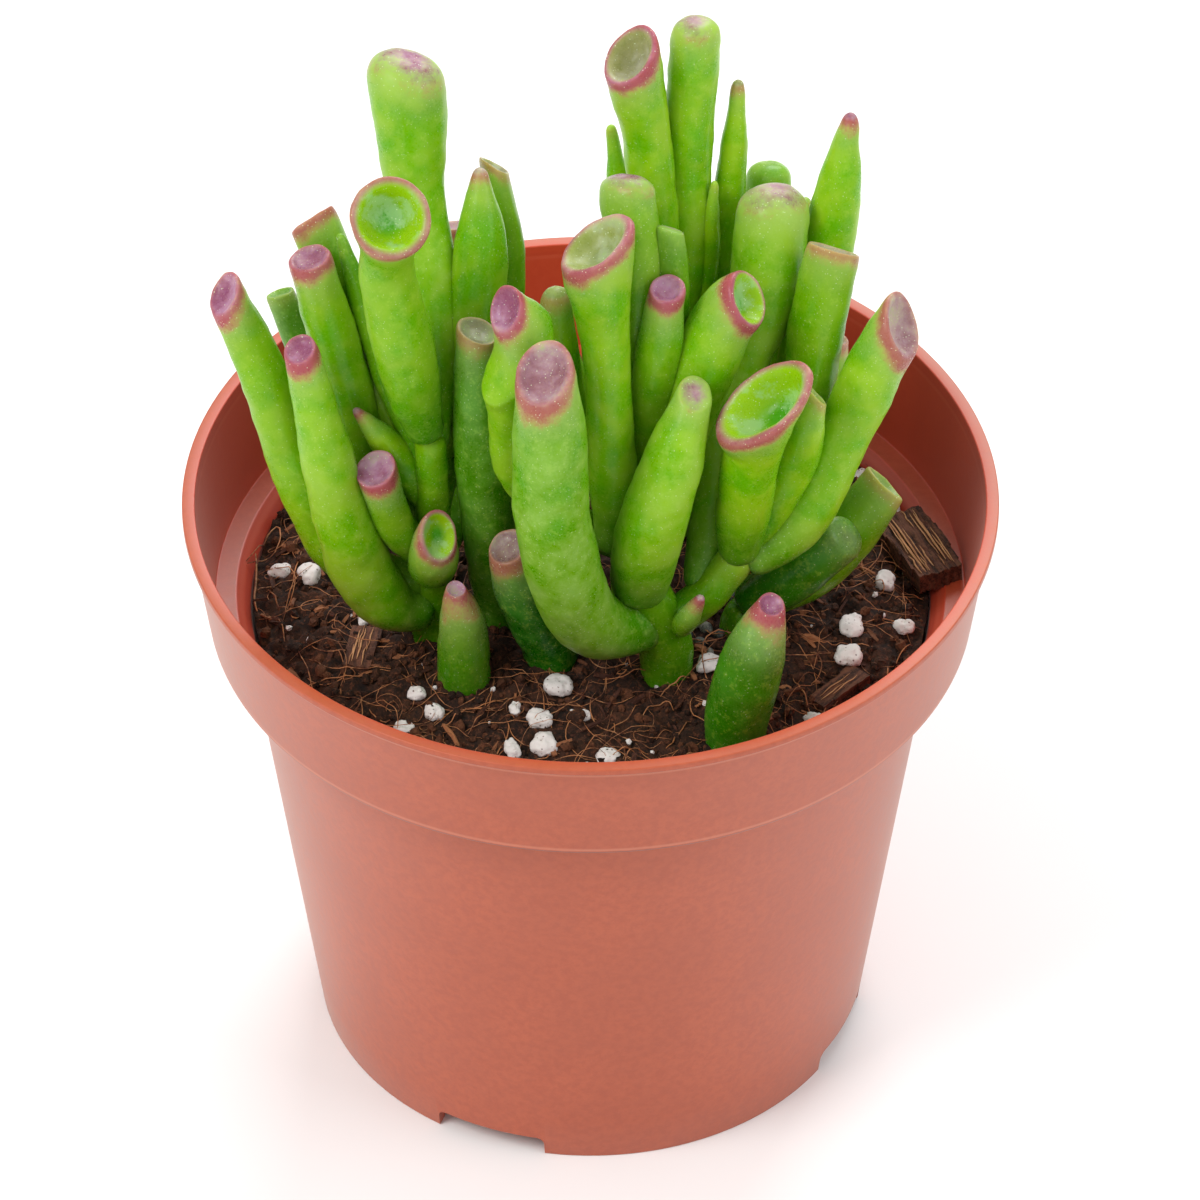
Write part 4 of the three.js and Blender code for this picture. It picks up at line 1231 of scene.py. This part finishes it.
leafSwell = lumps('leafSwell', 'CLOUDS', 6 * mm)
leafDents = lumps('leafDents', 'CLOUDS', 1.6 * mm, noise_depth=2)
leafSkin = leafFinish()
stemLooks = {'tone': 0.3, 'blush': 0, 'bloom': 0.1}

for name, stem in stems.items():
    parts = [growStem(stem['path'], stem['girth'], growth['stemFloor'], stemLooks)]
    if name == 'front':
        parts.append(growLeaf(branch))
    for leaf in leaves[name]:
        parts.append(growLeaf(leaf))
    shoot = finishFoliage(parts, 'leafy_shoot_' + name)
    give(shoot, leafSkin, 'leaf_old' if name == 'low' else 'leaf_young', 'shoot_' + name)
    print('shoot ready:', name)

for name, leaf in soilLeaves.items():
    single = finishFoliage([growLeaf({**leaf, 'roots': 3})], 'soil_leaf_' + name)
    give(single, leafSkin, 'leaf_old', 'leaf_' + name)
print('single leaves ready')


crumbs = scatter(crumbShapes(), loose['crumbs'], crumbPlace, 'soil_crumbs')
give(crumbs, crumbFinish(), 'soil')
slivers = scatter(sliverShapes(), loose['slivers'], sliverPlace, 'soil_slivers')
give(slivers, sliverFinish(), 'soil')
stones = iter(loose['pebbles'])
pebbles = scatter(crumbShapes(), len(loose['pebbles']), lambda: pebblePlace(stones), 'grey_pebbles')
makeActive(pebbles)
bpy.ops.object.shade_smooth()
addModifier(pebbles, 'SUBSURF', levels=1, render_levels=1)
give(pebbles, stoneFinish(), 'soil')
give(addFibres(), fibreFinish(), 'soil')
print('loose bits ready')


# perlite

perlitePlan = {
    'swell': 1.08,
    'flat': 0.74,
    'square': 0.12,
    'lobes': 1.3 * mm,
    'pits': 0.3 * mm,
}
grainLobes = lumps('grainLobes', 'CLOUDS', 2 * mm)
grainPits = lumps('grainPits', 'CLOUDS', 0.6 * mm, noise_depth=2)


def addGrain(node):
    low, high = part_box(node)
    size = (high - low) * perlitePlan['swell']
    deselectAll()
    bpy.ops.mesh.primitive_ico_sphere_add(subdivisions=4, radius=0.5, location=(0, 0, 0))
    grain = named(node.replace('perlite', 'perlite_grain'))
    addModifier(grain, 'CAST', cast_type='CUBOID', factor=perlitePlan['square'], radius=0, size=0.5)
    size.z *= perlitePlan['flat']
    grain.location = (*((low + high) / 2).xy, low.z + size.z / 2)
    grain.scale = size
    settle(grain)
    displace(grain, grainLobes, perlitePlan['lobes'], mid_level=0.55)
    displace(grain, grainPits, perlitePlan['pits'], mid_level=0.5)
    makeActive(grain)
    bpy.ops.object.shade_smooth()
    return grain


def perliteFinish():
    chalk = Finish('white_perlite')
    stain = chalk.noise(1.1 * mm, detail=3, roughness=0.7)
    dots = chalk.step(chalk.cells(0.7 * mm), 0.26, 0.14) * chalk.step(stain, 0.44, 0.54)
    colour = chalk.blend(chalk.step(stain, 0.58, 0.75) * 0.5, paint(218, 212, 209), paint(160, 136, 126))
    colour = chalk.blend(dots * 0.85, colour, paint(84, 52, 42))
    chalk.set(Base_Color=colour, Roughness=0.85, Normal=chalk.bump(stain, 0.2 * mm, 0.6))
    return chalk.material


chalkWhite = perliteFinish()
for node in sorted(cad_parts):
    if node.startswith('perlite'):
        give(addGrain(node), chalkWhite, 'perlite', node)
grit = scatter(crumbShapes(), loose['grit'], gritPlace, 'perlite_dust')
give(grit, chalkWhite, 'perlite')
print('perlite ready')


# bark chips

chips = {
    'bark_chip_large': {
        'middle': (48.6, 6.5), 'turn': 114, 'floor': 77.6, 'thickness': 3.2, 'ridge': 1.1,
        'outline': [(-6.4, -3.2), (0.4, -3.7), (6.3, -3), (7.2, 0.6), (6, 3.4), (-0.6, 3.05), (-6.9, 2.6)],
        'straws': [(-6.2, 6.4, 2.2, 0.2), (-6.6, 6.6, 1.6, 0.16), (-5, 3.4, 1, 0.1),
                   (-6, -1, 0.4, 0.13), (-5.4, 5.8, -1.9, 0.18), (-6, 0.5, -2.5, 0.13),
                   (-6.4, 2, -2.9, 0.11), (-6.8, -2.5, 2.7, 0.14), (-6.8, -3.5, 1.3, 0.11),
                   (-6.6, -4, -1.2, 0.1), (2.5, 7, 2.4, 0.1), (3, 7.2, -0.6, 0.1),
                   (-2, 5.4, 2.5, 0.09), (-4, 6, -1.4, 0.1), (0, 6.8, -2.2, 0.09), (-6.9, 0, 2, 0.12)],
    },
    'bark_chip_left': {
        'middle': (-33.5, -15.8), 'turn': 80, 'floor': 78, 'thickness': 1.9, 'ridge': 0.6,
        'outline': [(-4.2, -1.4), (3.6, -1.7), (4.4, 0.4), (3, 1.6), (-3.8, 1.5)],
        'straws': [(-3.6, 3.4, 0.9, 0.14), (-4.2, 1, -0.6, 0.1), (-1, 4.2, -0.9, 0.11),
                   (-3, 3.8, 0.2, 0.13), (-4.4, 0, 1.2, 0.09), (-0.5, 4.5, 0.5, 0.09)],
    },
    'bark_chip_right': {
        'middle': (36.2, -24), 'turn': 48, 'floor': 77.8, 'thickness': 1.6, 'ridge': 0.5,
        'outline': [(-4.6, -1), (3.8, -1.4), (4.8, 0.3), (3.6, 1.3), (-4.2, 1.2)],
        'straws': [(-3.6, 3.2, 0.5, 0.1), (-2, 3.6, -0.6, 0.09), (-4, 1, -0.2, 0.09)],
    },
}


def addChip(name):
    chip = chips[name]
    corners = [Vector((x, y, 0)) * mm for x, y in chip['outline']]
    reach = max(corner.length for corner in corners)
    low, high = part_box(name)
    deselectAll()
    bpy.ops.mesh.primitive_grid_add(x_subdivisions=round(reach / (0.12 * mm)), location=(0, 0, 0),
                                    y_subdivisions=round(reach / (0.12 * mm)), size=2 * reach)
    slab = named(name.replace('bark_chip', 'bark_piece'))
    editMode()
    for start, end in zip(corners, corners[1:] + corners[:1]):
        outward = (end - start).cross(Vector((0, 0, 1)))
        selectWhole()
        bpy.ops.mesh.bisect(plane_co=start, plane_no=outward, clear_outer=True, threshold=0.005 * mm)
    objectMode()
    bpy.ops.object.empty_add(location=(0, 0, 0))
    grain = bpy.context.object
    grain.scale = (9, 0.8, 1)  # the ridges run along the chip
    addModifier(slab, 'DISPLACE', texture=barkRidges, strength=chip['ridge'] * mm, mid_level=0.6,
                direction='Z', texture_coords='OBJECT', texture_coords_object=grain)
    discard([grain])
    displace(slab, barkPits, 0.35 * mm, mid_level=0.5)
    editMode()
    selectWhole()
    bpy.ops.mesh.region_to_loop()
    for i in range(3):
        depth = chip['thickness'] * mm / 3
        bpy.ops.mesh.extrude_edges_move(TRANSFORM_OT_translate={'value': (0, 0, -depth)})
        bpy.ops.transform.vertex_random(offset=0.12 * mm, seed=i + 1)
    bpy.ops.mesh.edge_face_add()
    selectWhole()
    bpy.ops.mesh.normals_make_consistent(inside=False)
    objectMode()
    markAll(slab, 'straw', 0)
    pieces = [slab]
    for start, end, across, thick in chip['straws']:
        pieces.append(addStraw(start, end, across, thick, chip))
    whole = joinAll(pieces, slab.name)
    whole.rotation_euler = (0, 0, math.radians(chip['turn']))
    whole.location = (*[value * mm for value in chip['middle']], (chip['floor'] + chip['thickness']) * mm)
    settle(whole)
    bpy.ops.object.shade_smooth_by_angle(angle=math.radians(40))
    return whole


def addStraw(start, end, across, thick, chip):
    deselectAll()
    bpy.ops.mesh.primitive_cylinder_add(vertices=8, radius=thick * mm, depth=(end - start) * mm,
                                        location=(0, 0, 0), rotation=(0, math.pi / 2, 0))
    straw = named('straw')
    settle(straw)
    editMode()
    for i in range(9):
        cut = ((i + 1) / 10 - 0.5) * (end - start) * mm
        selectWhole()
        bpy.ops.mesh.bisect(plane_co=(cut, 0, 0), plane_no=(1, 0, 0))
    objectMode()
    half = (end - start) * mm / 2
    for vert in straw.data.vertices:
        t = vert.co.x / half
        wander = noise.noise(Vector((t * 1.7 + across, across * 3, 0)))
        taper = 1 - 0.75 * abs(t) ** 3
        vert.co.y = vert.co.y * taper + wander * 0.2 * mm
        vert.co.z = vert.co.z * taper * 0.7 + noise.noise(Vector((t * 2, across, 5))) * 0.12 * mm
    straw.location = ((start + end) / 2 * mm, across * mm, 0.12 * chip['ridge'] * mm)
    settle(straw)
    markAll(straw, 'straw', 1)
    return straw


def barkFinish(name):
    chip = chips[name]
    bark = Finish(name.replace('bark_chip', 'bark'))
    place = bark.turned([value * mm for value in (*chip['middle'], 0)], math.radians(chip['turn']),
                        (0.14, 1, 1))
    straw = bark.painted('straw')
    streak = bark.noise(0.7 * mm, detail=4, roughness=0.7, place=place)
    fleck = bark.noise(0.4 * mm, detail=3, roughness=0.7)
    colour = bark.blend(bark.step(streak, 0.35, 0.62), paint(44, 24, 18), paint(104, 64, 46))
    colour = bark.blend(bark.step(fleck, 0.5, 0.7) * 0.45, colour, paint(132, 88, 62))
    light = bark.blend(bark.step(streak, 0.3, 0.6), paint(140, 88, 56), paint(198, 146, 102))
    colour = bark.blend(straw, colour, light)
    bark.set(Base_Color=colour, Roughness=0.75, Specular_IOR_Level=0.3,
             Normal=bark.bump(streak + fleck * 0.5, 0.25 * mm, 0.8))
    return bark.material


barkRidges = lumps('barkRidges', 'CLOUDS', 1 * mm, noise_depth=2)
barkPits = lumps('barkPits', 'CLOUDS', 0.7 * mm, noise_depth=2)
for name in chips:
    give(addChip(name), barkFinish(name), 'bark', name)
print('bark ready')
